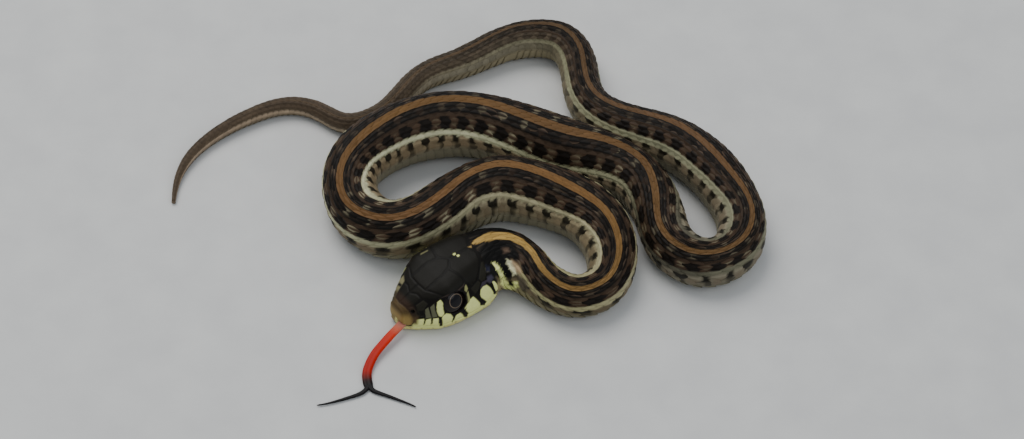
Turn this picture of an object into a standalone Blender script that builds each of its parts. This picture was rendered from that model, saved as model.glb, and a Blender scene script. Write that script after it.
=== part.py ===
"""A young garter snake at life size, lying in flat coils on a floor with its head in front and its
tongue out.

The whole animal follows one curve along the floor, from the tip of the snout to the tip of the tail.
Cross-sections stand square to that curve and are joined into lofts, one for each length of the animal.
The sizes are in millimetres, and MM turns them into metres where the meshes are made. "Along" is the
distance from the tip of the snout, measured on the curve, and "right" is the animal's own right.
"""
import math

import bmesh
import bpy
import numpy as np
from mathutils import Vector

MM = 0.001
GAP = 0.3                # between neighbouring pieces

# Where the animal lies: points on the middle of its back, seen from above, from the snout to the tail
ROUTE = [
    (-15.1, -18.9), (-12.0, -16.5), (-8.9, -14.0), (-6.4, -12.1), (-4.1, -10.8), (-2.2, -10.2),
    (-0.6, -10.2), (0.9, -10.9), (2.3, -12.1), (3.7, -13.6), (5.6, -15.2), (8.5, -16.2), (11.4, -15.1),
    (12.9, -12.2), (13.0, -9.0), (12.1, -5.8), (10.1, -2.8), (6.8, -0.5), (2.4, 1.1), (-1.6, 1.7), (-4.8, 0.7), (-8.4, -1.7),
    (-12.6, -4.6), (-16.4, -5.3), (-20.0, -2.8), (-21.7, 1.7), (-21.4, 5.7), (-19.0, 9.2),
    (-15.4, 11.8), (-11.0, 13.4), (-6.4, 13.8), (-1.6, 12.8), (2.6, 11.3), (6.9, 9.5), (11.5, 7.6),
    (15.4, 5.2), (18.2, 1.6), (19.7, -2.8), (21.4, -8.2), (25.3, -10.7), (29.2, -8.8), (30.5, -4.4),
    (29.4, 0.7), (26.2, 6.6), (21.5, 11.2), (15.5, 14.3), (11.4, 17.7), (9.8, 22.2), (9.1, 27.8),
    (7.0, 31.7), (2.6, 32.6), (-2.1, 31.1), (-7.4, 28.0), (-12.2, 25.7), (-15.4, 21.9), (-18.8, 18.0),
    (-22.8, 16.8), (-26.6, 19.1), (-30.8, 20.4), (-36.2, 18.5), (-41.0, 14.9), (-44.4, 10.4),
    (-45.7, 5.6), (-45.8, 2.8),
]
MIDDLE = (-6.206, 1.132)   # the middle of the box round the animal on that plan, which is the origin
FAN = 4.0                # sections in a bend are turned evenly over this length either way

# Half of the body's width, and how far its back leans to its right in degrees, by the distance along
HALF_WIDTH = [
    (10, 5.4), (13, 5.1), (15, 4.85), (17, 4.55), (19.5, 3.6), (22.5, 2.95), (28.5, 2.7), (32.5, 2.85),
    (36.5, 3.4), (40.5, 3.85), (50, 4.1), (58, 4.25), (66, 4.0), (74, 3.75), (84, 3.75), (92, 4.1),
    (102, 4.35), (112, 4.2), (120, 4.05), (127, 3.8), (134, 3.6), (142, 3.35), (152, 3.1), (158, 3.35),
    (169, 3.65), (177, 3.5), (186, 3.1), (194, 2.75), (204, 2.7), (211, 2.5), (218, 2.2), (226, 1.85),
    (234, 1.6), (242, 1.4), (250, 1.28), (260, 1.05), (266, 0.85), (270, 0.6), (276, 0.3),
]
LEAN = [
    (0, 0), (11, 0), (13.5, 6), (15, 14), (17, 20), (20, 18), (22.5, 10), (25.5, 3), (28.5, -14),
    (32.5, -26), (35.5, -23), (39.5, -11), (44.5, -2), (50, 2), (60, 0), (69, 3), (74, 12), (79, 22), (84, 20), (89, 6), (93, 0),
    (102, 5), (110, 3), (122, -3), (128, 3), (133, 9), (137, 0), (142, -16), (148, -22), (159, -20),
    (164, -13), (170, -4), (182, -7), (194, -5), (204, -6), (211, -14), (218, -6), (226, 0), (236, 14),
    (242, 22), (248, 14), (254, 0), (276, 0),
]
BLEND = 2.5              # how far either way a kink in those two tables is rounded off

# The cross-section of the body: an oval a little higher than wide, settled flat on the floor
HEIGHT_TO_WIDTH = [
    (10, 0.68), (13, 0.71), (15, 0.735), (17, 0.75), (19.5, 0.90), (22.5, 1.07), (28.5, 1.12), (276, 1.12),
]
AXIS_HEIGHT = 0.9        # of the oval's half-height, so that its lowest tenth is flat on the floor
SIDES = [0, 26, 52, 77, 100, 119, 125, 152, 180]   # degrees round from the middle of the back

# The belly plates, which run the whole way from the throat to the tip of the tail
PLATE_EDGE = 122         # degrees round from the middle of the back
PLATE_RISE = 0.3
PLATE_PITCH = 4.2        # a plate on the thickest length; thinner lengths have shorter plates
PLATE_RINGS = [(0.0, 0.0), (0.34, 1.0), (0.9, 1.0)]   # share of a plate's length, share of its rise

# Where each length ends, as the distance along
HEAD_END = 17.4
NECK_END = 28.5
BODY_ENDS = [44, 62, 77, 90, 110, 132, 147, 162, 185, 203]
TAIL_ENDS = [228, 247, 276]

# The head points forward along the first stretch of the route. Each line of its form gives, by the
# distance from the snout, how far out from the middle it runs and how high above the floor
CROWN = [(0, 0, 3.7), (1.5, 0, 4.5), (4, 0, 5.8), (6, 0, 6.5), (8.5, 0, 6.9), (11, 0, 7.0), (14, 0, 6.9)]
CROWN_HALF = [
    (0, 0.6, 3.6), (1.5, 1.2, 4.4), (4, 2.0, 5.75), (6, 2.4, 6.5), (8.5, 2.5, 6.85), (11, 2.5, 6.9),
    (14, 2.3, 6.7),
]
BROW = [
    (0, 1.0, 3.3), (1.5, 2.1, 4.0), (4, 3.3, 5.2), (6, 3.95, 6.0), (8.5, 4.1, 6.05), (11, 4.05, 5.85),
    (14, 3.6, 5.6),
]
CHEEK = [
    (0, 1.15, 2.6), (1.5, 2.4, 3.1), (4, 3.9, 3.9), (6, 4.4, 4.2), (8.5, 4.85, 4.3), (11, 4.9, 4.3),
    (14, 4.5, 4.2),
]
LIP = [
    (0, 1.2, 1.7), (1.5, 2.7, 1.9), (4, 4.45, 2.3), (6, 5.05, 2.5), (8.5, 5.4, 2.6), (11, 5.4, 2.7),
    (14, 5.0, 2.9),
]
MOUTH = [
    (0, 1.1, 1.1), (1.5, 2.65, 1.15), (4, 4.45, 1.25), (6, 5.05, 1.3), (8.5, 5.4, 1.4), (11, 5.4, 1.6),
    (14, 5.1, 1.9),
]
LOWER_LIP = [
    (0, 1.05, 0.7), (1.5, 2.5, 0.75), (4, 4.3, 0.8), (6, 4.95, 0.85), (8.5, 5.25, 0.9), (11, 5.25, 1.05),
    (14, 5.0, 1.3),
]
JAW = [
    (0, 0.95, 0.35), (1.5, 2.35, 0.25), (4, 4.1, 0.25), (6, 4.75, 0.3), (8.5, 5.0, 0.35), (11, 5.0, 0.35),
    (14, 4.9, 0.4),
]
CHIN = [(0, 0.5, 0.2), (1.5, 1.6, 0.05), (4, 3.0, 0), (6, 3.7, 0), (8.5, 4.0, 0), (11, 4.0, 0), (14, 3.9, 0)]
THROAT = [(0, 0, 0.2), (1.5, 0, 0.03), (4, 0, 0), (6, 0, 0), (8.5, 0, 0), (11, 0, 0), (14, 0, 0)]
HEAD_LINES = [CROWN, CROWN_HALF, BROW, CHEEK, LIP, MOUTH, LOWER_LIP, JAW, CHIN, THROAT]
HEAD_ANGLES = [0, 24, 48, 74, 96, 110, 122, 138, 160, 180]   # where those lines meet the neck's oval
HEAD_BLEND = 0.8         # how far either way a kink in the head's lines is rounded off
HEAD_STEPS = 26
HEAD_SPREAD = 1.15       # over 1, so that the sections crowd towards the snout
HEAD_TO_NECK = 12.0      # where the head's form starts to turn into the neck's oval
ROLL_HEIGHT = 2.2        # the head leans over about a line at this height
SNOUT = 0.35             # the first full section; smaller ones round the nose off in front of it
NOSE = [(0.0, 0.72), (0.14, 0.90)]   # distance from the tip, share of that section's size
NOSE_HEIGHT = 1.9        # what those smaller sections shrink towards

# The eyes: flattened balls that look out and a little up from under the brow
EYE_ALONG = 6.35
EYE_OUT = 4.75           # the middle of the eye's surface
EYE_UP = 4.25
EYE_RADIUS = 1.5
EYE_DEPTH = 0.95         # half of its thickness
EYE_TILT = 20            # degrees

# The nostrils, on the sides of the snout
NOSTRIL_ALONG = 1.3
NOSTRIL_OUT = 2.0
NOSTRIL_UP = 3.65
NOSTRIL_TILT = 35        # degrees
NOSTRIL_RADIUS = 0.3
NOSTRIL_DEPTH = 0.55

# The mouth line, from one corner round the snout to the other
MOUTH_CORNER = 13.2      # distance along
MOUTH_STEPS = 16
MOUTH_HEIGHT = 0.36
MOUTH_DEPTH = 0.4
MOUTH_PROUD = 0.6        # how far its cutter stands out of the lips

# The tongue: points on its middle as (x, y, up) on the same plan, and the two tips that it forks into.
# Its root is in a notch in the front of the mouth
NOTCH_ALONG = (-0.8, 1.4)
NOTCH_RIGHT = -0.2
NOTCH_UP = 1.2
NOTCH_WIDTH = 1.7
NOTCH_HEIGHT = 1.16
TONGUE = [
    (-14.2, -18.4, 1.2), (-15.0, -19.1, 1.2), (-15.6, -20.3, 1.2), (-16.2, -21.6, 1.15), (-17.0, -23.2, 1.0),
    (-17.8, -24.6, 0.8), (-18.4, -26.0, 0.55), (-18.6, -27.4, 0.4), (-18.5, -28.6, 0.32), (-18.2, -29.8, 0.3),
]
TIPS = [
    [(-18.35, -29.1, 0.3), (-18.6, -29.9, 0.3), (-19.3, -30.6, 0.29), (-20.6, -31.2, 0.28),
     (-21.9, -31.7, 0.27), (-23.8, -32.3, 0.24), (-24.9, -32.5, 0.21)],
    [(-18.15, -29.1, 0.3), (-17.9, -29.9, 0.3), (-17.2, -30.4, 0.29), (-15.8, -31.0, 0.28),
     (-14.5, -31.6, 0.27), (-13.0, -32.3, 0.24), (-12.1, -32.8, 0.21)],
]
TONGUE_HALF_WIDTH = (0.46, 0.58)     # at the root and at the fork
TONGUE_HALF_THICK = (0.28, 0.28)
TIP_HALF_WIDTH = (0.34, 0.18)        # at the fork and at the end
TIP_HALF_THICK = (0.26, 0.18)
TONGUE_SIDES = 12
TONGUE_STEP = 0.8
TONGUE_FAN = 1.0         # what FAN is for the body


def smooth_path(points, step, fan):
    """A natural cubic curve through the points, read at even steps: distances, places, headings."""
    points = np.array(points, float)
    knots = np.concatenate([[0], np.cumsum(np.linalg.norm(np.diff(points, axis=0), axis=1))])
    count = len(points)
    spans = np.diff(knots)
    matrix = np.zeros((count, count))
    target = np.zeros((count, points.shape[1]))
    matrix[0, 0] = matrix[-1, -1] = 1
    for i in range(1, count - 1):
        matrix[i, i - 1] = spans[i - 1]
        matrix[i, i] = 2 * (spans[i - 1] + spans[i])
        matrix[i, i + 1] = spans[i]
        target[i] = 6 * ((points[i + 1] - points[i]) / spans[i] - (points[i] - points[i - 1]) / spans[i - 1])
    bend = np.linalg.solve(matrix, target)
    at = np.append(np.arange(0, knots[-1], step), knots[-1])
    i = np.clip(np.searchsorted(knots, at, side="right") - 1, 0, count - 2)
    before = ((knots[i + 1] - at) / spans[i])[:, None]
    after = ((at - knots[i]) / spans[i])[:, None]
    places = before * points[i] + after * points[i + 1]
    places += ((before**3 - before) * bend[i] + (after**3 - after) * bend[i + 1]) * (spans[i]**2)[:, None] / 6
    along = np.concatenate([[0], np.cumsum(np.linalg.norm(np.diff(places, axis=0), axis=1))])
    headings = np.gradient(places, along, axis=0)
    reach = round(fan / step)
    window = 1 + np.cos(math.pi * np.arange(-reach, reach + 1) / reach)
    padded = np.pad(headings, ((reach, reach), (0, 0)), mode="edge")
    headings = np.stack([np.convolve(column, window, mode="valid") for column in padded.T], 1)
    headings /= np.linalg.norm(headings, axis=1)[:, None]
    return along, places, headings


PATH_STEP = 0.1
PATH_ALONG, PATH_PLACES, PATH_HEADINGS = smooth_path(ROUTE, PATH_STEP, FAN)
PATH_PLACES -= MIDDLE


def read(table, along, column=1, blend=BLEND):
    """A table's value at a distance along, with its kinks rounded off over a blend either way."""
    offsets = np.linspace(-blend, blend, 11)
    weights = 1 + np.cos(math.pi * offsets / blend)
    values = np.interp(along + offsets, [row[0] for row in table], [row[column] for row in table])
    return float(np.sum(values * weights) / np.sum(weights))


def stand_on_path(along, section):
    """Turn (right, up) points of a section at one distance along into places over the floor plan."""
    x, y = (np.interp(along, PATH_ALONG, column) for column in PATH_PLACES.T)
    heading_x, heading_y = (np.interp(along, PATH_ALONG, column) for column in PATH_HEADINGS.T)
    ahead = min(along, 0.0)
    x += heading_x * ahead
    y += heading_y * ahead
    return [Vector((x - heading_y * right, y + heading_x * right, up)) for right, up in section]


def oval(along, rise, angles):
    """One section of the body: an oval settled on the floor, its belly plates raised by a share."""
    half_width = read(HALF_WIDTH, along)
    half_height = half_width * read(HEIGHT_TO_WIDTH, along)
    lean = read(LEAN, along)
    depth = min(PLATE_RISE, 0.12 * half_width)
    points = []
    for angle in angles:
        turn = math.radians(angle + lean)
        plate = rise if abs(angle) > PLATE_EDGE else 0.0
        inset = depth * (1 - plate) if abs(angle) > 90 else 0.0
        right = (half_width - inset) * math.sin(turn)
        up = half_height * AXIS_HEIGHT + (half_height - inset) * math.cos(turn)
        points.append((right, max(up, inset)))
    return points


def all_round(half):
    """The angles of one side, from back to belly, mirrored to the other side."""
    return half + [-angle for angle in reversed(half[1:-1])]


def material(name, colour, roughness):
    finish = bpy.data.materials.new(name)
    finish.use_nodes = True
    shader = finish.node_tree.nodes["Principled BSDF"]
    shader.inputs["Base Color"].default_value = (*colour, 1)
    shader.inputs["Roughness"].default_value = roughness
    shader.inputs["Metallic"].default_value = 0.0
    return finish


def loft(name, rings, finish, collection):
    """A closed object skinned over rings of points, given in millimetres, with a flat face at each end."""
    mesh = bmesh.new()
    loops = [[mesh.verts.new(point * MM) for point in ring] for ring in rings]
    count = len(loops[0])
    for front, back in zip(loops, loops[1:]):
        for i in range(count):
            j = (i + 1) % count
            mesh.faces.new((front[i], front[j], back[j], back[i]))
    mesh.faces.new(loops[0])
    mesh.faces.new(loops[-1])
    bmesh.ops.recalc_face_normals(mesh, faces=mesh.faces)
    data = bpy.data.meshes.new(name)
    mesh.to_mesh(data)
    mesh.free()
    data.shade_smooth()
    data.set_sharp_from_angle(angle=math.radians(40))
    if finish:
        data.materials.append(finish)
    solid = bpy.data.objects.new(name, data)
    collection.objects.link(solid)
    return solid


def adopt(item, name, finish, collection):
    """Name a new primitive, put it in its collection and give it its material."""
    item.name = name
    for other in item.users_collection:
        other.objects.unlink(item)
    collection.objects.link(item)
    item.data.shade_smooth()
    item.data.set_sharp_from_angle(angle=math.radians(40))
    if finish:
        item.data.materials.append(finish)
    return item


def combine(item, operation, other):
    """Cut a closed mesh out of an object, or join it on, and keep the largest closed surface."""
    step = item.modifiers.new(other.name, "BOOLEAN")
    step.operation = operation
    step.object = other
    step.solver = "EXACT"
    seen = item.evaluated_get(bpy.context.evaluated_depsgraph_get())
    result = bpy.data.meshes.new_from_object(seen)
    item.modifiers.clear()
    item.data = result
    shape = bmesh.new()
    shape.from_mesh(result)
    waiting = set(shape.verts)
    pieces = []
    while waiting:
        piece = set()
        edge_of_piece = [waiting.pop()]
        while edge_of_piece:
            vert = edge_of_piece.pop()
            piece.add(vert)
            near = {edge.other_vert(vert) for edge in vert.link_edges} & waiting
            waiting -= near
            edge_of_piece.extend(near)
        pieces.append(piece)
    pieces.sort(key=len)
    loose = [vert for piece in pieces[:-1] for vert in piece]
    bmesh.ops.delete(shape, geom=loose, context="VERTS")
    shape.to_mesh(result)
    shape.free()


def plated_length(name, start, end, finish, collection):
    """A length of the body or tail, with whole belly plates between its two flat ends."""
    middle = read(HALF_WIDTH, (start + end) / 2)
    pitch = PLATE_PITCH * (0.45 + 0.55 * middle / 4.35)
    plates = max(2, round((end - start) / pitch))
    rings = []
    for plate in range(plates):
        for share, rise in PLATE_RINGS:
            along = start + (end - start) * (plate + share) / plates
            rings.append(stand_on_path(along, oval(along, rise, all_round(SIDES))))
    rings.append(stand_on_path(end, oval(end, 0.0, all_round(SIDES))))
    return loft(name, rings, finish, collection)


def smooth_step(value):
    value = min(max(value, 0.0), 1.0)
    return value * value * (3 - 2 * value)


def head_section(along):
    """One section of the head, which turns into the neck's oval at the back."""
    lean = math.radians(read(LEAN, along))
    half = [(read(line, along, 1, HEAD_BLEND), read(line, along, 2, HEAD_BLEND)) for line in HEAD_LINES]
    full = half + [(-out, up) for out, up in reversed(half[1:-1])]
    neck = oval(along, 0.0, all_round(HEAD_ANGLES))
    share = smooth_step((along - HEAD_TO_NECK) / (HEAD_END - HEAD_TO_NECK))
    section = []
    for (out, up), (neck_out, neck_up) in zip(full, neck):
        right = out * math.cos(lean) + (up - ROLL_HEIGHT) * math.sin(lean)
        height = ROLL_HEIGHT + (up - ROLL_HEIGHT) * math.cos(lean) - out * math.sin(lean)
        section.append((right + (neck_out - right) * share, max(height + (neck_up - height) * share, 0.0)))
    return section


def nose_section(size):
    """The first section of the head, made smaller towards the middle of the nose."""
    return [(right * size, NOSE_HEIGHT + (up - NOSE_HEIGHT) * size) for right, up in head_section(SNOUT)]


def in_head(along, right, up):
    """A place on or in the head, in metres."""
    return stand_on_path(along, [(right, up)])[0] * MM


def out_of_head(side, tilt):
    """The direction out of the head to its left (-1) or right (1), tilted up by some degrees."""
    level = (in_head(EYE_ALONG, side, 0) - in_head(EYE_ALONG, 0, 0)).normalized()
    return level * math.cos(math.radians(tilt)) + Vector((0, 0, math.sin(math.radians(tilt))))


def eyeball(name, side, margin, finish, collection):
    """One eye, or with a margin the hollow that it sits in."""
    direction = out_of_head(side, EYE_TILT)
    centre = in_head(EYE_ALONG, side * EYE_OUT, EYE_UP) - direction * EYE_DEPTH * MM
    bpy.ops.mesh.primitive_uv_sphere_add(segments=24, ring_count=14, radius=1, location=centre)
    ball = bpy.context.object
    ball.rotation_euler = direction.to_track_quat("Z", "Y").to_euler()
    wide = (EYE_RADIUS + margin) * MM
    ball.scale = (wide, wide, (EYE_DEPTH + margin) * MM)
    return adopt(ball, name, finish, collection)


def nostril_cutter(side, collection):
    direction = out_of_head(side, NOSTRIL_TILT)
    bpy.ops.mesh.primitive_cylinder_add(
        vertices=12, radius=NOSTRIL_RADIUS * MM, depth=2 * NOSTRIL_DEPTH * MM,
        location=in_head(NOSTRIL_ALONG, side * NOSTRIL_OUT, NOSTRIL_UP),
        rotation=direction.to_track_quat("Z", "Y").to_euler())
    return adopt(bpy.context.object, "nostril_cutter", None, collection)


def mouth_cutter(collection):
    """A ribbon that follows the line of the mouth from one corner round the snout to the other."""
    line = []
    for step in range(MOUTH_STEPS):
        along = MOUTH_CORNER * (1 - step / MOUTH_STEPS)**1.3
        line.append(in_head(along, -read(MOUTH, along, 1, HEAD_BLEND), read(MOUTH, along, 2, HEAD_BLEND)) / MM)
    front = in_head(0, 0, MOUTH[0][2]) / MM
    line.append(in_head(0, -0.6, MOUTH[0][2]) / MM)
    line.append(front)
    across = out_of_head(1, 0)
    line += [point + across * 2 * across.dot(front - point) for point in reversed(line[:-1])]
    rings = []
    for i, point in enumerate(line):
        way = (line[min(i + 1, len(line) - 1)] - line[max(i - 1, 0)]).to_2d().normalized()
        outward = Vector((way.y, -way.x, 0)) * -1
        half = Vector((0, 0, MOUTH_HEIGHT / 2))
        outer = point + outward * MOUTH_PROUD
        inner = point - outward * MOUTH_DEPTH
        rings.append([outer + half, outer - half, inner - half, inner + half])
    return loft("mouth_cutter", rings, None, collection)


def notch_cutter(collection):
    """The notch in the front of the mouth, which the tongue comes out of."""
    front, back = NOTCH_ALONG
    bpy.ops.mesh.primitive_cube_add(size=1, location=in_head((front + back) / 2, NOTCH_RIGHT, NOTCH_UP))
    notch = bpy.context.object
    notch.rotation_euler.z = out_of_head(1, 0).to_2d().angle_signed(Vector((0, 1)))
    notch.scale = ((back - front) * MM, NOTCH_WIDTH * MM, NOTCH_HEIGHT * MM)
    return adopt(notch, "notch_cutter", None, collection)


def make_head(finish, collection, cutters):
    rings = [stand_on_path(along, nose_section(size)) for along, size in NOSE]
    for step in range(HEAD_STEPS + 1):
        along = SNOUT + (HEAD_END - SNOUT) * (step / HEAD_STEPS)**HEAD_SPREAD
        rings.append(stand_on_path(along, head_section(along)))
    head = loft("head", rings, finish, collection)
    hollows = [mouth_cutter(cutters), notch_cutter(cutters)]
    for side in (-1, 1):
        hollows.append(eyeball("socket_cutter", side, GAP, None, cutters))
        hollows.append(nostril_cutter(side, cutters))
    for hollow in hollows:
        hollow.hide_render = True
        hollow.display_type = "WIRE"
        combine(head, "DIFFERENCE", hollow)
    return head


def tongue_piece(name, points, half_width, half_thick, finish, collection):
    """One strip of the tongue, which tapers evenly from its first point to its last."""
    points = [(x - MIDDLE[0], y - MIDDLE[1], up) for x, y, up in points]
    along, places, headings = smooth_path(points, TONGUE_STEP / 8, TONGUE_FAN)
    rings = []
    for at in np.linspace(0, along[-1], round(along[-1] / TONGUE_STEP) + 1):
        place = Vector([np.interp(at, along, column) for column in places.T])
        heading = Vector([np.interp(at, along, column) for column in headings.T])
        sideways = Vector((-heading.y, heading.x, 0)).normalized()
        over = heading.cross(sideways).normalized()
        wide = np.interp(at, [0, along[-1]], half_width)
        thick = np.interp(at, [0, along[-1]], half_thick)
        turns = [2 * math.pi * side / TONGUE_SIDES for side in range(TONGUE_SIDES)]
        rings.append([place + sideways * wide * math.cos(turn) + over * thick * math.sin(turn) for turn in turns])
    return loft(name, rings, finish, collection)


def make_tongue(finish, collection):
    tongue = tongue_piece("tongue", TONGUE, TONGUE_HALF_WIDTH, TONGUE_HALF_THICK, finish, collection)
    for points in TIPS:
        tip = tongue_piece("tongue_tip", points, TIP_HALF_WIDTH, TIP_HALF_THICK, finish, collection)
        combine(tongue, "UNION", tip)
        bpy.data.objects.remove(tip)
    return tongue


for leftover in list(bpy.data.objects):
    bpy.data.objects.remove(leftover)
snake = bpy.data.collections.new("garter_snake")
cutters = bpy.data.collections.new("cutters")
bpy.context.scene.collection.children.link(snake)
bpy.context.scene.collection.children.link(cutters)

head_plates = material("head_plates", (0.045, 0.04, 0.03), 0.35)
neck_skin = material("neck_skin", (0.07, 0.05, 0.03), 0.45)
body_skin = material("body_skin", (0.10, 0.075, 0.05), 0.45)
tail_skin = material("tail_skin", (0.16, 0.11, 0.07), 0.5)
eye_gloss = material("eye_gloss", (0.02, 0.02, 0.025), 0.08)
tongue_flesh = material("tongue_flesh", (0.45, 0.10, 0.04), 0.35)

make_head(head_plates, snake, cutters)
eyeball("eye_left", -1, 0.0, eye_gloss, snake)
eyeball("eye_right", 1, 0.0, eye_gloss, snake)
make_tongue(tongue_flesh, snake)
plated_length("neck", HEAD_END + GAP, NECK_END, neck_skin, snake)
start = NECK_END
for number, end in enumerate(BODY_ENDS, 1):
    plated_length(f"body_{number}", start + GAP, end, body_skin, snake)
    start = end
for number, end in enumerate(TAIL_ENDS, 1):
    plated_length(f"tail_{number}", start + GAP, min(end, PATH_ALONG[-1]), tail_skin, snake)
    start = end
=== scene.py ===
"""A young garter snake at life size, as a still museum model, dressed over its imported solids.

Sizes are in millimetres and MM turns them into metres where a mesh is made. "Along" is the distance from
the tip of the snout on the curve that the animal follows, "turn" is the angle round the body from the
middle of its back, in degrees, and both are positive towards the tail and the animal's own right.
"""
import math

import bmesh
import bpy
import numpy as np
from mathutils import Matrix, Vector


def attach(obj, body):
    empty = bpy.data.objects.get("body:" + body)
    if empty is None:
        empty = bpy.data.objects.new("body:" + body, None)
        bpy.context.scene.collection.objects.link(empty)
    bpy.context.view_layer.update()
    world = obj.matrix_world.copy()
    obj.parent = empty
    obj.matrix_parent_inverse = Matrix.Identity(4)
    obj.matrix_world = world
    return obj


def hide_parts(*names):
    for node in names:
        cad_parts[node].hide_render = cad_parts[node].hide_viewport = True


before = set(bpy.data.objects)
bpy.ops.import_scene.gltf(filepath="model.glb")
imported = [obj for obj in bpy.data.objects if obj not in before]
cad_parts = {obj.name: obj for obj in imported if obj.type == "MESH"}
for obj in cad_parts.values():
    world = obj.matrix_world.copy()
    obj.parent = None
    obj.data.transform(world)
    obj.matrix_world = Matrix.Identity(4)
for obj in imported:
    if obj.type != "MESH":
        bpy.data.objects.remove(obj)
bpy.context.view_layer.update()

# The camera stands in front of the head and looks down at the floor. Two broad soft lamps and a pale sky
# light the animal evenly from above, as cloud does, on a plain pale painted floor.
MM = 0.001
MIDDLE = (-6.206, 1.132)             # the middle of the animal's box on the plan that its route is drawn on
CAMERA_DISTANCE = 391.3
CAMERA_HEIGHT_ANGLE = math.radians(47)
LENS_ANGLE = math.radians(20)
camera = bpy.data.objects.new("camera", bpy.data.cameras.new("camera"))
camera.data.sensor_width = 36
camera.data.angle = LENS_ANGLE
camera.data.clip_start = 0.01
camera.location = (
    -MIDDLE[0] * MM,
    (-CAMERA_DISTANCE * math.cos(CAMERA_HEIGHT_ANGLE) - MIDDLE[1]) * MM,
    CAMERA_DISTANCE * math.sin(CAMERA_HEIGHT_ANGLE) * MM)
camera.rotation_euler = (math.pi / 2 - CAMERA_HEIGHT_ANGLE, 0, 0)
bpy.context.scene.collection.objects.link(camera)
bpy.context.scene.camera = camera


def soft_lamp(name, place, size, watts, colour):
    lamp = bpy.data.objects.new(name, bpy.data.lights.new(name, "AREA"))
    lamp.data.shape = "DISK"
    lamp.data.size = size
    lamp.data.energy = watts
    lamp.data.color = colour
    lamp.location = place
    lamp.rotation_euler = (-Vector(place)).to_track_quat("-Z", "Y").to_euler()
    bpy.context.scene.collection.objects.link(lamp)


soft_lamp("key_lamp", (-0.25, 0.35, 0.75), 0.7, 5.0, (1.0, 0.98, 0.95))
soft_lamp("fill_lamp", (0.45, -0.45, 0.6), 0.8, 2.0, (0.93, 0.96, 1.0))
sky = bpy.data.worlds.new("sky")
sky.use_nodes = True
sky.node_tree.nodes["Background"].inputs["Color"].default_value = (0.86, 0.92, 1.0, 1)
sky.node_tree.nodes["Background"].inputs["Strength"].default_value = 0.55
bpy.context.scene.world = sky


def linear(red, green, blue):
    """A colour given as it looks on a screen, 0 to 255, as the amounts of light that it stands for."""
    screen = np.array([red, green, blue]) / 255
    return np.where(screen > 0.04, ((screen + 0.055) / 1.055) ** 2.4, screen / 12.92)


class Shade:
    """One socket of a material. Arithmetic on it adds the nodes that work it out."""

    def __init__(self, tree, socket):
        self.tree = tree
        self.socket = socket

    def node(self, kind, settings=None, values=None, output=0):
        """Any node, by its type: its settings first, then the values or links of its sockets."""
        made = self.tree.nodes.new(kind)
        for name, value in (settings or {}).items():
            if name == "stops":
                for count, (place, colour) in enumerate(value):
                    ramp = made.color_ramp.elements
                    stop = ramp[count] if count < 2 else ramp.new(place)
                    stop.position = place
                    stop.color = (*colour, 1)
            else:
                setattr(made, name, value)
        for name, value in (values or {}).items():
            if isinstance(value, Shade):
                self.tree.links.new(value.socket, made.inputs[name])
            else:
                made.inputs[name].default_value = value
        return Shade(self.tree, made.outputs[output])

    def holds_colour(self):
        return self.socket.type in ("RGBA", "VECTOR")

    def join(self, operation, first, second):
        sides = (first, second)
        if not any(isinstance(side, Shade) and side.holds_colour() for side in sides):
            return self.node("ShaderNodeMath", {"operation": operation}, {0: first, 1: second})
        three = [side if isinstance(side, (Shade, tuple)) else (side, side, side) for side in sides]
        return self.node("ShaderNodeVectorMath", {"operation": operation}, dict(enumerate(three)))

    def __add__(self, other):
        return self.join("ADD", self, other)

    def __radd__(self, other):
        return self.join("ADD", other, self)

    def __sub__(self, other):
        return self.join("SUBTRACT", self, other)

    def __rsub__(self, other):
        return self.join("SUBTRACT", other, self)

    def __mul__(self, other):
        return self.join("MULTIPLY", self, other)

    def __rmul__(self, other):
        return self.join("MULTIPLY", other, self)

    def marks(self):
        """The colours that the mesh carries."""
        return self.node("ShaderNodeAttribute", {"attribute_name": "marks"}, output="Color")

    def noise(self, per_mm, detail=2.0, roughness=0.5):
        """Even noise about 0.5, with so many lumps to a millimetre of the object."""
        place = self.node("ShaderNodeTexCoord", output="Object")
        return self.node("ShaderNodeTexNoise", {"noise_dimensions": "3D"}, {
            "Vector": place, "Scale": per_mm / MM, "Detail": detail, "Roughness": roughness})


def finish(name, constants):
    """A new material: its shader with constants set, and a Shade to start expressions from."""
    made = bpy.data.materials.new(name)
    made.use_nodes = True
    shader = made.node_tree.nodes["Principled BSDF"]
    for socket, value in constants.items():
        shader.inputs[socket].default_value = value
    return made, shader, Shade(made.node_tree, shader.outputs[0])


def feed(shader, sockets):
    for name, value in sockets.items():
        shader.id_data.links.new(value.socket, shader.inputs[name])


def mesh_object(name, points, faces, surface, smooth=True):
    """A new object from points in millimetres."""
    data = bpy.data.meshes.new(name)
    data.from_pydata((np.asarray(points) * MM).tolist(), [], faces)
    data.update()
    if smooth:
        data.shade_smooth()
    data.materials.append(surface)
    made = bpy.data.objects.new(name, data)
    bpy.context.scene.collection.objects.link(made)
    return made


FLOOR_HALF = 1500
painted, shader, start = finish("painted_floor", {"Roughness": 0.6})
speck = start.noise(0.15, 3)
feed(shader, {"Base Color": start.node("ShaderNodeValToRGB", {"stops": [
    (0.3, linear(196, 196, 194)), (0.7, linear(204, 204, 201))]}, {0: speck})})
floor = mesh_object("floor", [(-FLOOR_HALF, -FLOOR_HALF, 0), (FLOOR_HALF, -FLOOR_HALF, 0),
                              (FLOOR_HALF, FLOOR_HALF, 0), (-FLOOR_HALF, FLOOR_HALF, 0)],
                    [(0, 1, 2, 3)], painted, False)

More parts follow.
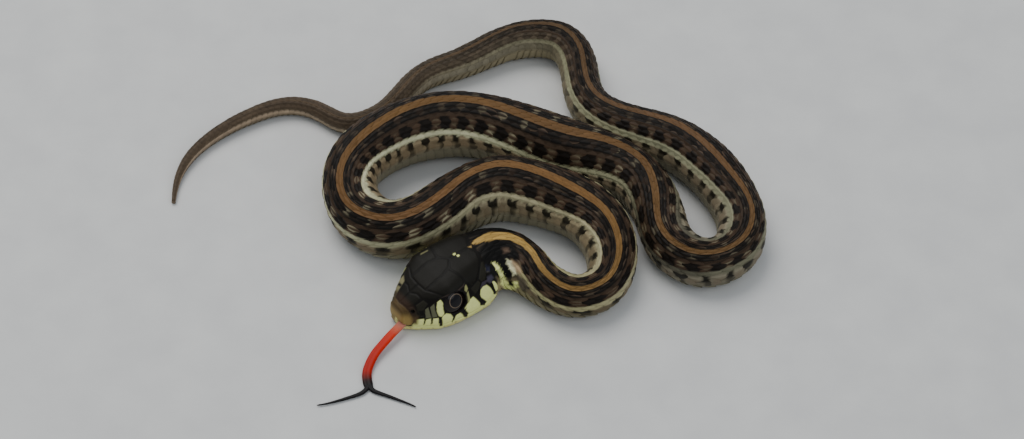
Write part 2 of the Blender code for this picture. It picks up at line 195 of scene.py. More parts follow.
# The skin is one unbroken surface from the snout to the tip of the tail, thin and folded between the
# scales, and it carries the whole pattern. On the head it is set with smooth horny plates, with the mouth,
# the nostrils and the rims of the eyes worked into it.
ROUTE = [
    (-15.1, -18.9), (-12.0, -16.5), (-8.9, -14.0), (-6.4, -12.1), (-4.1, -10.8), (-2.2, -10.2),
    (-0.6, -10.2), (0.9, -10.9), (2.3, -12.1), (3.7, -13.6), (5.6, -15.2), (8.5, -16.2), (11.4, -15.1),
    (12.9, -12.2), (13.0, -9.0), (12.1, -5.8), (10.1, -2.8), (6.8, -0.5), (2.4, 1.1), (-1.6, 1.7),
    (-4.8, 0.7), (-8.4, -1.7), (-12.6, -4.6), (-16.4, -5.3), (-20.0, -2.8), (-21.7, 1.7), (-21.4, 5.7),
    (-19.0, 9.2), (-15.4, 11.8), (-11.0, 13.4), (-6.4, 13.8), (-1.6, 12.8), (2.6, 11.3), (6.9, 9.5),
    (11.5, 7.6), (15.4, 5.2), (18.2, 1.6), (19.7, -2.8), (21.4, -8.2), (25.3, -10.7), (29.2, -8.8),
    (30.5, -4.4), (29.4, 0.7), (26.2, 6.6), (21.5, 11.2), (15.5, 14.3), (11.4, 17.7), (9.8, 22.2),
    (9.1, 27.8), (7.0, 31.7), (2.6, 32.6), (-2.1, 31.1), (-7.4, 28.0), (-12.2, 25.7), (-15.4, 21.9),
    (-18.8, 18.0), (-22.8, 16.8), (-26.6, 19.1), (-30.8, 20.4), (-36.2, 18.5), (-41.0, 14.9), (-44.4, 10.4),
    (-45.7, 5.6), (-45.8, 2.8),
]
FAN = 4.0
HALF_WIDTH = [
    (10, 5.4), (13, 5.1), (15, 4.85), (17, 4.55), (19.5, 3.6), (22.5, 2.95), (28.5, 2.7), (32.5, 2.85),
    (36.5, 3.4), (40.5, 3.85), (50, 4.1), (58, 4.25), (66, 4.0), (74, 3.75), (84, 3.75), (92, 4.1),
    (102, 4.35), (112, 4.2), (120, 4.05), (127, 3.8), (134, 3.6), (142, 3.35), (152, 3.1), (158, 3.35),
    (169, 3.65), (177, 3.5), (186, 3.1), (194, 2.75), (204, 2.7), (211, 2.5), (218, 2.2), (226, 1.85),
    (234, 1.6), (242, 1.4), (250, 1.28), (260, 1.05), (266, 0.85), (270, 0.6), (276, 0.3),
]
LEAN = [
    (0, 0), (11, 0), (13.5, 6), (15, 14), (17, 20), (20, 18), (22.5, 10), (25.5, 3), (28.5, -14),
    (32.5, -26), (35.5, -23), (39.5, -11), (44.5, -2), (50, 2), (60, 0), (69, 3), (74, 12), (79, 22),
    (84, 20), (89, 6), (93, 0), (102, 5), (110, 3), (122, -3), (128, 3), (133, 9), (137, 0), (142, -16),
    (148, -22), (159, -20), (164, -13), (170, -4), (182, -7), (194, -5), (204, -6), (211, -14), (218, -6),
    (226, 0), (236, 14), (242, 22), (248, 14), (254, 0), (276, 0),
]
BLEND = 2.5
HEIGHT_TO_WIDTH = [
    (10, 0.68), (13, 0.71), (15, 0.735), (17, 0.75), (19.5, 0.90), (22.5, 1.07), (28.5, 1.12), (276, 1.12),
]
AXIS_HEIGHT = 0.9
HEAD_STATIONS = [0, 1.5, 4, 6, 8.5, 11, 14]
# Lines along the head from the crown to the throat: the turn of each, and how far out and up it is at the
# stations. In order they are the crown and its edge, brow, cheek, lip, mouth, lower lip, jaw, chin, throat
HEAD_LINES = [
    (0, [0, 0, 0, 0, 0, 0, 0], [3.7, 4.5, 5.8, 6.5, 6.9, 7.0, 6.9]),
    (24, [0.6, 1.2, 2.0, 2.4, 2.5, 2.5, 2.3], [3.6, 4.4, 5.75, 6.5, 6.85, 6.9, 6.7]),
    (48, [1.0, 2.1, 3.3, 3.95, 4.1, 4.05, 3.6], [3.3, 4.0, 5.2, 6.0, 6.05, 5.85, 5.6]),
    (74, [1.15, 2.4, 3.9, 4.4, 4.85, 4.9, 4.5], [2.6, 3.1, 3.9, 4.2, 4.3, 4.3, 4.2]),
    (96, [1.2, 2.7, 4.45, 5.05, 5.4, 5.4, 5.0], [1.7, 1.9, 2.3, 2.5, 2.6, 2.7, 2.9]),
    (110, [1.1, 2.65, 4.45, 5.05, 5.4, 5.4, 5.1], [1.1, 1.15, 1.25, 1.3, 1.4, 1.6, 1.9]),
    (122, [1.05, 2.5, 4.3, 4.95, 5.25, 5.25, 5.0], [0.7, 0.75, 0.8, 0.85, 0.9, 1.05, 1.3]),
    (138, [0.95, 2.35, 4.1, 4.75, 5.0, 5.0, 4.9], [0.35, 0.25, 0.25, 0.3, 0.35, 0.35, 0.4]),
    (160, [0.5, 1.6, 3.0, 3.7, 4.0, 4.0, 3.9], [0.2, 0.05, 0, 0, 0, 0, 0]),
    (180, [0, 0, 0, 0, 0, 0, 0], [0.2, 0.03, 0, 0, 0, 0, 0]),
]
MOUTH_TURN = 110
HEAD_BLEND = 0.8
HEAD_TO_NECK = 12.0
HEAD_END = 17.4
ROLL_HEIGHT = 2.2
SNOUT = 0.35
NOSE_LENGTH = 0.38
NOSE_HEIGHT = 1.9


def smooth_path(points, step, fan):
    """A natural cubic curve through the points, read at even steps: distances, places, headings."""
    points = np.array(points, float)
    knots = np.concatenate([[0], np.cumsum(np.linalg.norm(np.diff(points, axis=0), axis=1))])
    count = len(points)
    spans = np.diff(knots)
    matrix = np.zeros((count, count))
    target = np.zeros((count, points.shape[1]))
    matrix[0, 0] = matrix[-1, -1] = 1
    for i in range(1, count - 1):
        matrix[i, i - 1:i + 2] = spans[i - 1], 2 * (spans[i - 1] + spans[i]), spans[i]
        target[i] = 6 * ((points[i + 1] - points[i]) / spans[i] - (points[i] - points[i - 1]) / spans[i - 1])
    bend = np.linalg.solve(matrix, target)
    at = np.append(np.arange(0, knots[-1], step), knots[-1])
    i = np.clip(np.searchsorted(knots, at, side="right") - 1, 0, count - 2)
    before = ((knots[i + 1] - at) / spans[i])[:, None]
    after = ((at - knots[i]) / spans[i])[:, None]
    places = before * points[i] + after * points[i + 1]
    places += ((before**3 - before) * bend[i] + (after**3 - after) * bend[i + 1]) * (spans[i]**2)[:, None] / 6
    along = np.concatenate([[0], np.cumsum(np.linalg.norm(np.diff(places, axis=0), axis=1))])
    headings = np.gradient(places, along, axis=0)
    reach = round(fan / step)
    window = 1 + np.cos(math.pi * np.arange(-reach, reach + 1) / reach)
    padded = np.pad(headings, ((reach, reach), (0, 0)), mode="edge")
    headings = np.stack([np.convolve(column, window, mode="valid") for column in padded.T], 1)
    headings /= np.linalg.norm(headings, axis=1)[:, None]
    return along, places, headings


PATH_ALONG, PATH_PLACES, PATH_HEADINGS = smooth_path(ROUTE, 0.1, FAN)
PATH_PLACES -= MIDDLE
LENGTH = PATH_ALONG[-1]
STEP = 0.05
STEPS = np.arange(-1, LENGTH + 2, STEP)


def rounded(table, blend=BLEND):
    """A table's values at even steps along, with its kinks rounded off over a blend either way."""
    rows = np.array(table, float)
    offsets = np.linspace(-blend, blend, 11)
    weights = 1 + np.cos(math.pi * offsets / blend)
    return np.interp(STEPS[:, None] + offsets, rows[:, 0], rows[:, 1]) @ weights / weights.sum()


def smooth(value, low=0.0, high=1.0):
    """0 below low, 1 above high and an even slope between them."""
    share = np.clip((value - low) / (high - low), 0, 1)
    return share * share * (3 - 2 * share)


half_width = rounded(HALF_WIDTH)
half_height = half_width * rounded(HEIGHT_TO_WIDTH)
lean = np.radians(rounded(LEAN))
head_angles = [line[0] for line in HEAD_LINES]
head_out, head_up = (
    np.stack([rounded(list(zip(HEAD_STATIONS, line[column])), HEAD_BLEND) for line in HEAD_LINES])
    for column in (1, 2))


def head_section(along, turn):
    """How far out and up the head's form is, from its lines, on a smooth curve across them."""
    place = (along - STEPS[0]) / STEP
    row = np.clip(place.astype(int), 0, len(STEPS) - 2)
    over = place - row
    line = np.interp(np.abs(turn), head_angles, np.arange(len(HEAD_LINES)))
    first = np.minimum(line.astype(int), len(HEAD_LINES) - 2)
    part = line - first
    last = len(HEAD_LINES) - 1
    results = []
    for values, flip in ((head_out, -1.0), (head_up, 1.0)):
        four = []
        for shift in (-1, 0, 1, 2):
            index = first + shift
            sign = np.where((index < 0) | (index > last), flip, 1.0)
            index = np.where(index > last, 2 * last - index, np.abs(index))
            four.append(sign * (values[index, row] * (1 - over) + values[index, row + 1] * over))
        a, b, c, d = four
        bend = 2 * a - 5 * b + 4 * c - d + part * (3 * (b - c) + d - a)
        results.append(b + 0.5 * part * (c - a + part * bend))
    out, up = results
    return np.where(turn < 0, -out, out), up


def beside_route(along, right, up):
    """Places given by the distance along, to the right of the curve that the animal follows, and up."""
    x, y, heading_x, heading_y = (
        np.interp(along, PATH_ALONG, column) for column in (*PATH_PLACES.T, *PATH_HEADINGS.T))
    ahead = np.minimum(along, 0)
    return np.stack(
        [x + heading_x * ahead - heading_y * right, y + heading_y * ahead + heading_x * right, up], -1)


def form(along, turn):
    """Places of the animal's outer surface, in millimetres."""
    along, turn = np.broadcast_arrays(np.asarray(along, float), (np.asarray(turn, float) + 180) % 360 - 180)
    at = np.maximum(along, SNOUT)
    roll = np.interp(at, STEPS, lean)
    wide, tall = np.interp(at, STEPS, half_width), np.interp(at, STEPS, half_height)
    right = wide * np.sin(np.radians(turn) + roll)
    up = tall * AXIS_HEIGHT + tall * np.cos(np.radians(turn) + roll)
    up = np.maximum(up, 0)
    on_head = at < HEAD_END
    if on_head.any():
        out, high = head_section(at[on_head], turn[on_head])
        tilt = roll[on_head]
        head_right = out * np.cos(tilt) + (high - ROLL_HEIGHT) * np.sin(tilt)
        head_high = ROLL_HEIGHT + (high - ROLL_HEIGHT) * np.cos(tilt) - out * np.sin(tilt)
        share = smooth(at[on_head], HEAD_TO_NECK, HEAD_END)
        right[on_head] = head_right + (right[on_head] - head_right) * share
        up[on_head] = np.maximum(head_high + (up[on_head] - head_high) * share, 0)
    size = (1 - np.clip((SNOUT - along) / NOSE_LENGTH, 0, 1)**3)**0.5
    right = right * size
    up = np.where(size < 1, NOSE_HEIGHT + (up - NOSE_HEIGHT) * size, up)
    return beside_route(along, right, up)


def outward(along, turn):
    """The direction straight out of the surface."""
    lengthwise = form(along + 0.1, turn) - form(along - 0.1, turn)
    crosswise = form(along, turn + 1) - form(along, turn - 1)
    direction = np.cross(lengthwise, crosswise)
    return direction / np.maximum(np.linalg.norm(direction, axis=-1), 1e-9)[..., None]


# Where the pattern lies, by the distance along: how far the stripe on the back has swung from the middle
# of the back, and how far round from it the pale stripe on each side runs, in degrees
SWING = [
    (13, 3), (15, 0), (20, 0), (22, -6), (24, -14), (26, -18), (28, -14), (30, -4), (32, 3), (34, 6),
    (38, 5), (41, 7), (45, 11), (48, 10), (51, 3), (54, -2), (57, -3), (62, -2), (64, 0), (66, 5), (70, 9),
    (80, 9), (82, 5), (84, 0), (86, -6), (88, -9), (90, -9), (92, -6), (95, -4), (98, -2), (106, -1),
    (110, -2), (113, -5), (117, -7), (120, -6), (123, -2), (126, 3), (129, 5), (131, 4), (133, 0),
    (136, -4), (145, -5), (147, -3), (149, 1), (151, 3), (153, 2), (155, -1), (158, -2), (160, 0), (163, 5),
    (165, 8), (168, 7), (170, 4), (173, 2), (176, 1), (180, 0), (185, 1), (190, -1), (195, -3), (200, -3),
    (203, 3), (206, 6), (210, 5), (220, 4), (240, 0),
]
SIDE_STRIPE_LEFT = [
    (20, 53), (22, 57), (24, 58), (26, 60), (28, 59), (30, 56), (34, 56), (39, 64), (66, 64), (72, 53),
    (78, 42), (80, 46), (82, 52), (84, 57), (86, 55), (88, 53), (90, 53), (95, 59), (100, 65), (105, 68),
    (113, 71), (117, 76), (120, 79), (128, 79), (131, 75), (134, 66), (137, 62), (143, 62), (146, 58),
    (149, 54), (153, 49), (156, 46), (162, 58), (170, 64), (200, 66), (210, 62),
]
SIDE_STRIPE_RIGHT = [
    (20, 50), (30, 42), (33, 42), (36, 45), (43, 50), (46, 52), (50, 58), (53, 61), (56, 63), (60, 60),
    (63, 53), (66, 55), (78, 58), (86, 66), (128, 66), (138, 57), (141, 50), (145, 40), (150, 36),
    (153, 40), (156, 49), (160, 52), (166, 53), (170, 58), (175, 63), (180, 67), (185, 64), (188, 61),
    (192, 57), (196, 54), (200, 59), (210, 62),
]
swing = rounded(SWING)
side_stripe = {-1: rounded(SIDE_STRIPE_LEFT), 1: rounded(SIDE_STRIPE_RIGHT)}
STRIPE_PLACE = 57.4      # where the side stripe is in the pattern, drawn flat
BELLY_PLACE = 95         # where the belly plates start there
BELLY_TURN = 100         # where they start on the body


def stripe_turn(along, side):
    left, right = (np.interp(along, STEPS, side_stripe[hand]) for hand in (-1, 1))
    return np.where(side < 0, left, right)


def to_turn(along, place):
    """The turn at which a place of the flat pattern lies on the body."""
    side, size = np.where(place < 0, -1.0, 1.0), np.abs(place)
    middle = np.interp(along, STEPS, swing)
    stripe = stripe_turn(along, side)
    upper = middle + side * stripe * size / STRIPE_PLACE
    share = (size - STRIPE_PLACE) / (BELLY_PLACE - STRIPE_PLACE)
    lower = (middle + side * stripe) * (1 - share) + side * BELLY_TURN * share
    under = side * (BELLY_TURN + (size - BELLY_PLACE) * (180 - BELLY_TURN) / (180 - BELLY_PLACE))
    return np.where(size < STRIPE_PLACE, upper, np.where(size < BELLY_PLACE, lower, under))


def to_place(along, turn):
    """The place in the flat pattern of a turn on the body."""
    middle = np.interp(along, STEPS, swing)
    side = np.where(turn < middle, -1.0, 1.0)
    stripe = stripe_turn(along, side)
    upper = (turn - middle) * STRIPE_PLACE / stripe
    edge = middle + side * stripe
    lower = side * (STRIPE_PLACE + (turn - edge) / (side * BELLY_TURN - edge) * (BELLY_PLACE - STRIPE_PLACE))
    under = side * (BELLY_PLACE + (np.abs(turn) - BELLY_TURN) * (180 - BELLY_PLACE) / (180 - BELLY_TURN))
    past_stripe = np.abs(turn - middle) > stripe
    return np.where(np.abs(turn) > BELLY_TURN, under, np.where(past_stripe, lower, upper))


SCALE_PITCH = 1.48       # one scale on the thick of the body; thinner lengths have smaller scales
FULL_WIDTH = 3.9
scale_pitch = SCALE_PITCH * (0.4 + 0.6 * half_width / FULL_WIDTH)
scale_count = np.cumsum(STEP / scale_pitch)

BACK_STRIPE = [
    (0, 174, 142, 78), (18, 170, 138, 76), (25, 124, 96, 54), (45, 115, 84, 48), (70, 105, 76, 47),
    (97, 102, 75, 43), (122, 97, 71, 43), (147, 102, 76, 46), (176, 96, 71, 47), (202, 85, 65, 43),
    (225, 86, 71, 54), (274, 84, 71, 57),
]
SIDE_STRIPE = [
    (0, 150, 142, 104), (25, 150, 144, 104), (34, 168, 160, 124), (60, 168, 160, 126), (72, 146, 142, 112),
    (84, 198, 195, 158), (105, 200, 198, 160), (125, 166, 164, 130), (141, 84, 80, 66), (147, 88, 84, 70),
    (165, 146, 144, 115), (190, 146, 144, 115), (205, 118, 114, 90), (225, 128, 120, 98),
    (274, 108, 94, 76),
]
FLANK = [
    (0, 60, 45, 33), (40, 66, 50, 37), (190, 64, 50, 38), (215, 82, 72, 58), (245, 82, 69, 55),
    (274, 84, 71, 56),
]
LOWER_FLANK = [
    (0, 90, 82, 60), (30, 100, 92, 70), (45, 150, 136, 106), (62, 122, 112, 89), (72, 100, 92, 73),
    (84, 132, 117, 90), (105, 136, 121, 94), (122, 150, 136, 108), (147, 112, 106, 89), (176, 132, 121, 97),
    (205, 104, 98, 79), (222, 130, 123, 104), (250, 154, 135, 112), (274, 138, 120, 100),
]
BELLY = [
    (0, 172, 162, 112), (18, 160, 150, 106), (26, 118, 110, 84), (36, 150, 142, 118), (60, 140, 134, 112),
    (180, 134, 128, 106), (210, 146, 136, 108), (274, 112, 98, 82),
]
BLACK = linear(13, 12, 10)
RED_BROWN = linear(55, 43, 32)
BLOTCH = linear(110, 86, 66)
FLECK = linear(124, 102, 82)
CREAM = linear(196, 188, 152)
CREAM_SHARE = [
    (0, 0.1), (58, 0.1), (66, 0.55), (78, 0.5), (84, 0.05), (106, 0.1), (112, 0.45), (128, 0.4), (136, 0.2),
    (150, 0.25), (165, 0.1), (212, 0.05),
]
# Where the black squares above the side stripe lie, and the spots below it: the number of the first of a
# run, and how far along each of the run is. From one run to the next they are evenly spaced
SQUARES_LEFT = [
    (-3, [14]), (-1, [19, 21.6, 23.9, 26.9, 29.8, 33.3, 38]),
    (21, [86.4, 89.2, 92.8, 96.1, 99.8, 103, 105.8, 108.9, 112.1, 115.4, 117.9, 121.4, 125.3, 128.5, 132.2,
          135.7, 139.7, 143.4, 146.2, 148.4, 150.5, 152.4, 154.6, 157]), (84, [274]),
]
SQUARES_RIGHT = [
    (-7, [14]), (0, [35.1, 37.9, 41.5, 45.6, 49.6, 52.7, 56.5, 61.2, 66, 70.3, 73.5, 76, 79]),
    (33, [138.9, 143]),
    (39, [158.3, 161.2, 164.3, 167.5, 170.6, 174.3, 177.7, 180.2, 183.2, 186, 188.7, 191.7, 194.6]),
    (83, [274]),
]
FLANK_SPOTS_LEFT = [
    (-4, [14]), (0, [25.2, 28.8, 32]), (4, [38]),
    (21, [88.3, 91.4, 93.8, 96.4, 99.2, 101.9, 104.7, 107.7, 110.5]), (36, [130.6, 133.6]),
    (41, [145, 147.5, 149.6, 151.5, 153.3]), (85, [274]),
]
FLANK_SPOTS_RIGHT = [
    (-6, [14]), (0, [34.6, 37.2, 40.8, 45.7, 49.6, 52.4, 55.2, 60.2, 63.5, 65.8, 68.5, 72, 74.5, 77.5]),
    (35, [141.8]), (40, [156.8, 160, 163.6, 166.3, 169.4, 172.5, 176.2, 179.2]), (50, [187.5, 190]),
    (80, [274]),
]
STRIPE_FOOT = [
    (0, 62), (19, 62), (23, 66), (32, 67), (38, 62), (60, 62), (68, 65), (80, 64), (84, 60.8), (104, 60.8),
    (110, 65), (134, 65), (148, 62.5), (158, 65), (200, 66), (212, 63), (274, 62),
]
STRIPE_HALF = [
    (12.3, 0), (13.2, 4), (15, 11), (16, 13), (18, 12.3), (20, 10.5), (26, 8), (212, 7.4), (240, 6),
    (274, 5),
]
# The places of the rows of the pattern: the chequered one beside the back stripe, the red-brown band, the
# squares above the side stripe, and the spots below it, which narrow to a neck over a lower foot
UPPER_ROW = (6, 25.6)
UPPER_GAPS = (10.5, 24)
RED_BAND = (25.8, 31.2)
SQUARE_ROW = (31.4, 52.6)
SQUARE_GAPS = (35, 50)
STRIPE_TOP = 52.2
SPOT_ROW = (60, 76)
SPOT_NECK = (75, 80)
SPOT_FOOT = (80, 93)
BLOTCH_ROW = (70, 88)
# Where along the body they change: the back stripe starts, and the spots, the stripe on each side and
# the dark rows of the back fade out towards the tail
STRIPE_START = 12.3
SPOTS_FADE = (186, 202)
SIDES_FADE = (212, 240)
BACK_FADES = (203, 230)


def read(table, along):
    """A table's value at each distance along."""
    rows = np.array(table)
    return np.interp(along, rows[:, 0], rows[:, 1])


def by_length(table, along):
    """A colour that changes along the animal."""
    stops = np.array([(row[0], *linear(*row[1:])) for row in table])
    return np.stack([np.interp(along, stops[:, 0], stops[:, i]) for i in (1, 2, 3)], -1)


def laid_over(under, over, share):
    share = np.asarray(share)[..., None]
    return under * (1 - share) + over * share


def band(value, low, high, soft):
    return smooth(value, low - soft, low + soft) * (1 - smooth(value, high - soft, high + soft))


def wave(count):
    """1 at each whole number and -1 half way between."""
    return np.cos(2 * math.pi * count)


def luck_of(number, spread):
    """A share from 0 to 1 that looks random and is always the same for one number."""
    return np.modf(np.abs(np.sin(number)) * spread)[0]


def count_of(left, right, along, place):
    """The number of the nearest mark of a row, with its fraction."""
    by_side = []
    for runs in (left, right):
        marks = [(at, first + i) for first, places in runs for i, at in enumerate(places)]
        by_side.append(read(marks, along))
    return np.where(place < 0, *by_side)


def body_marks(along, place, centre, edge):
    """The pattern's colours: rows of black squares on each side, between and below the three pale stripes.

    Spots are read nearer to the middle of the scale that they are on. Edge is 1 on a scale's sides,
    where pale skin shows between the spots.
    """
    size = np.abs(place)
    read_at = 0.6 * along + 0.4 * centre
    square = count_of(SQUARES_LEFT, SQUARES_RIGHT, read_at, place)
    below = count_of(FLANK_SPOTS_LEFT, FLANK_SPOTS_RIGHT, read_at, place)
    teeth = wave(np.interp(along, STEPS, scale_count))
    luck = luck_of(np.floor(square) * 12.9898 + np.sign(place) * 3.1, 43758.5)
    half_number = np.floor(2 * np.interp(centre, STEPS, scale_count))
    chance = luck_of(half_number * 7.13 + np.floor(size / 8) * 3.7 + (place < 0), 9631.7)
    upright = 1 - smooth(along, *BACK_FADES)
    clear = 1 - 0.9 * smooth(along, *SPOTS_FADE)
    cream = read(CREAM_SHARE, along) * upright
    opening = smooth(wave(square + 0.1), 0.5, 0.85) * band(size, *UPPER_GAPS, 1.5)
    lines = band(size, 9, 26, 1.0) * edge * (0.05 + 0.25 * (chance > 0.88))
    gap = (1 - smooth(wave(square), -0.85, -0.5)) * band(size, *SQUARE_GAPS, 1.5)
    round_square = smooth(wave(square) + 0.25 * np.cos(math.pi * (size - 42) / 12), -0.3, 0.0)
    foot = read(STRIPE_FOOT, along) + teeth
    half = read(STRIPE_HALF, along) + 0.9 * teeth * (1 - smooth(along, 17, 23)) * (along > 12.6)
    stripe_left = 1 - 0.75 * smooth(along, *SIDES_FADE)
    lower_flank = by_length(LOWER_FLANK, along) * (1.25 - 0.2 * smooth(size, 64, 80))[..., None]
    # From the bottom layer to the top one, each as its colour and how much of it shows
    layers = [
        (lower_flank, smooth(size, 60, 64)),
        (by_length(BELLY, along), smooth(size, 84, 97)),
        (BLACK, band(size, *UPPER_ROW, 0.9) * (0.97 - 0.3 * opening) * (0.35 + 0.65 * upright)),
        (FLECK, lines * upright),
        (CREAM, opening * (luck > 0.45) * (0.04 + 0.5 * edge) * cream),
        (RED_BROWN, band(size, *RED_BAND, 0.9) * upright),
        (CREAM, gap * (0.02 + edge * (0.35 + 0.65 * (luck > 0.3))) * cream),
        (BLACK, band(size, *SQUARE_ROW, 0.8) * round_square * (0.1 + 0.8 * upright) * (0.4 + 0.6 * clear)),
        (BLOTCH, band(size, *BLOTCH_ROW, 3) * smooth(-wave(below), -0.1, 0.4) * 0.25 * upright * clear),
        (BLACK, band(size, *SPOT_ROW, 1.5) * smooth(wave(below), 0.0, 0.3) * 0.93 * clear),
        (BLACK, band(size, *SPOT_NECK, 1.5) * smooth(wave(below), 0.6, 0.85) * 0.7 * clear),
        (BLACK, band(size, *SPOT_FOOT, 2.0) * smooth(wave(below - 0.08), 0.45, 0.75) * 0.7 * clear),
        (by_length(SIDE_STRIPE, along), band(size, STRIPE_TOP, foot, 0.6) * stripe_left),
        (BLACK, band(size, half, half + 2.4, 0.4) * upright),
        (by_length(BACK_STRIPE, along), (1 - smooth(size, half - 0.4, half + 0.4)) * (along > STRIPE_START)),
    ]
    colour = by_length(FLANK, along)
    for paint, share in layers:
        colour = laid_over(colour, paint, share)
    return colour


# The plates of the head, each as an outline of (distance along, turn) on the right side, with its colour.
# Those on the middle line are given as one half and mirrored whole
DARK_OLIVE = linear(24, 22, 17)
SEAM_DARK = linear(17, 15, 12)
NOSE_BROWN = linear(156, 132, 76)
LIP_CREAM = linear(234, 238, 150)
STREAK_CREAM = linear(150, 148, 98)
GREY_GREEN = linear(100, 100, 76)
VIOLET_GREY = linear(60, 54, 62)
TEMPLE = linear(38, 36, 28)
JAW_CREAM = linear(220, 212, 136)
MIDDLE_PLATES = [
    ("rostral", NOSE_BROWN, [
        (0.62, 0), (0.75, 18), (0.85, 40), (1.0, 62), (1.25, 84), (0.95, 103), (-1.5, 103)]),
    ("frontal", DARK_OLIVE, [(3.72, 0), (3.8, 17), (6.6, 13), (8.0, 8), (8.75, 0)]),
    ("mental", JAW_CREAM, [(-1.5, 117), (0.6, 117), (1.2, 140), (1.5, 180), (-1.5, 180)]),
]
SIDE_PLATES = [
    ("internasal", DARK_OLIVE, [
        (0.78, 1.5), (2.25, 1.5), (2.7, 14), (2.72, 28), (1.75, 34), (1.0, 30), (0.85, 18)]),
    ("prefrontal", DARK_OLIVE, [
        (2.4, 1.5), (2.85, 14), (2.9, 30), (3.9, 46), (4.9, 50), (4.4, 36), (3.68, 19), (3.6, 1.5)]),
    ("supraocular", DARK_OLIVE, [
        (3.95, 20), (4.55, 36), (5.3, 51), (6.5, 54), (8.0, 49), (8.3, 40), (8.1, 28), (7.7, 12),
        (6.6, 15)]),
    ("parietal", DARK_OLIVE, [
        (8.95, 1.2), (8.2, 9.5), (7.95, 14), (8.4, 30), (8.7, 47), (9.2, 58), (10.2, 53), (11.2, 41),
        (12.1, 28), (12.4, 14), (12.0, 1.2)]),
    ("nasal_front", TEMPLE, [(1.0, 36), (1.02, 60), (1.3, 82), (1.75, 80), (1.65, 56), (1.5, 38)]),
    ("nasal_rear", TEMPLE, [
        (1.85, 38), (1.75, 56), (1.88, 81), (2.35, 82), (2.45, 62), (3.1, 50), (2.85, 35)]),
    ("loreal_front", GREY_GREEN, [(2.6, 64), (3.0, 60), (3.08, 88), (2.45, 87)]),
    ("loreal_rear", GREY_GREEN, [(3.2, 62), (3.75, 56), (3.65, 74), (3.7, 88), (3.15, 88)]),
    ("preocular", LIP_CREAM, [
        (3.9, 67), (4.1, 56), (4.55, 54), (4.75, 64), (4.6, 77), (4.6, 86), (4.1, 91), (3.85, 87),
        (3.8, 78)]),
    ("postocular_top", STREAK_CREAM, [(8.1, 53), (8.4, 50), (8.5, 60), (8.15, 66), (7.9, 60)]),
    ("postocular_middle", STREAK_CREAM, [(8.1, 68), (8.45, 64), (8.45, 80), (7.95, 86), (7.85, 76)]),
    ("postocular_low", LIP_CREAM, [(7.6, 87), (8.1, 84), (7.9, 90), (7.3, 95), (7.2, 90)]),
    ("temple_front", TEMPLE, [
        (8.8, 63), (8.75, 78), (9.4, 77), (10.2, 72), (10.9, 62), (10.5, 55), (9.4, 60)]),
    ("temple_rear", TEMPLE, [
        (11.05, 61), (11.9, 64), (12.9, 50), (13.0, 34), (12.3, 32), (11.4, 43), (10.7, 54)]),
    ("temple_low", VIOLET_GREY, [
        (10.4, 73), (11.1, 63), (12.0, 66), (13.2, 70), (13.6, 82), (12.4, 78), (11.4, 73)]),
    ("lip_1", LIP_CREAM, [(1.35, 86), (2.3, 87), (2.05, 109), (0.95, 109)]),
    ("lip_2", LIP_CREAM, [(2.45, 90), (3.0, 89), (2.85, 109), (2.15, 109)]),
    ("lip_3", LIP_CREAM, [(3.2, 90), (3.78, 91), (3.7, 109), (3.0, 109)]),
    ("lip_4", LIP_CREAM, [
        (4.12, 94), (4.35, 89), (4.85, 87), (5.3, 90), (5.5, 97), (5.45, 109), (4.1, 109)]),
    ("lip_5", LIP_CREAM, [(5.75, 103), (6.1, 97), (6.6, 96), (7.0, 101), (7.2, 109), (5.6, 109)]),
    ("lip_6", LIP_CREAM, [
        (7.4, 97), (7.8, 89), (8.4, 81), (9.0, 79), (9.5, 86), (9.9, 97), (9.95, 109), (7.5, 109)]),
    ("lip_7", LIP_CREAM, [
        (10.2, 83), (10.5, 75), (11.1, 72), (11.9, 75), (12.7, 86), (13.2, 100), (13.1, 109), (10.9, 109),
        (10.35, 96)]),
    ("lip_8", LIP_CREAM, [(13.25, 79), (13.8, 82), (14.8, 98), (15.2, 110), (14.0, 109), (13.6, 97)]),
    ("chin_front", JAW_CREAM, [(1.7, 141), (5.2, 146), (5.4, 176), (1.8, 177)]),
    ("chin_rear", JAW_CREAM, [(5.5, 147), (9.2, 152), (9.6, 168), (5.6, 176)]),
]
LOWER_LIP_ENDS = [0.8, 1.9, 3.1, 4.4, 5.9, 7.5, 9.1, 10.7, 12.4]
for number, (near, far) in enumerate(zip(LOWER_LIP_ENDS, LOWER_LIP_ENDS[1:]), 1):
    SIDE_PLATES.append((f"lower_lip_{number}", JAW_CREAM, [
        (near + 0.1, 114), (far - 0.1, 114), (far + 0.05, 132), (far, 140), (near + 0.25, 140)]))

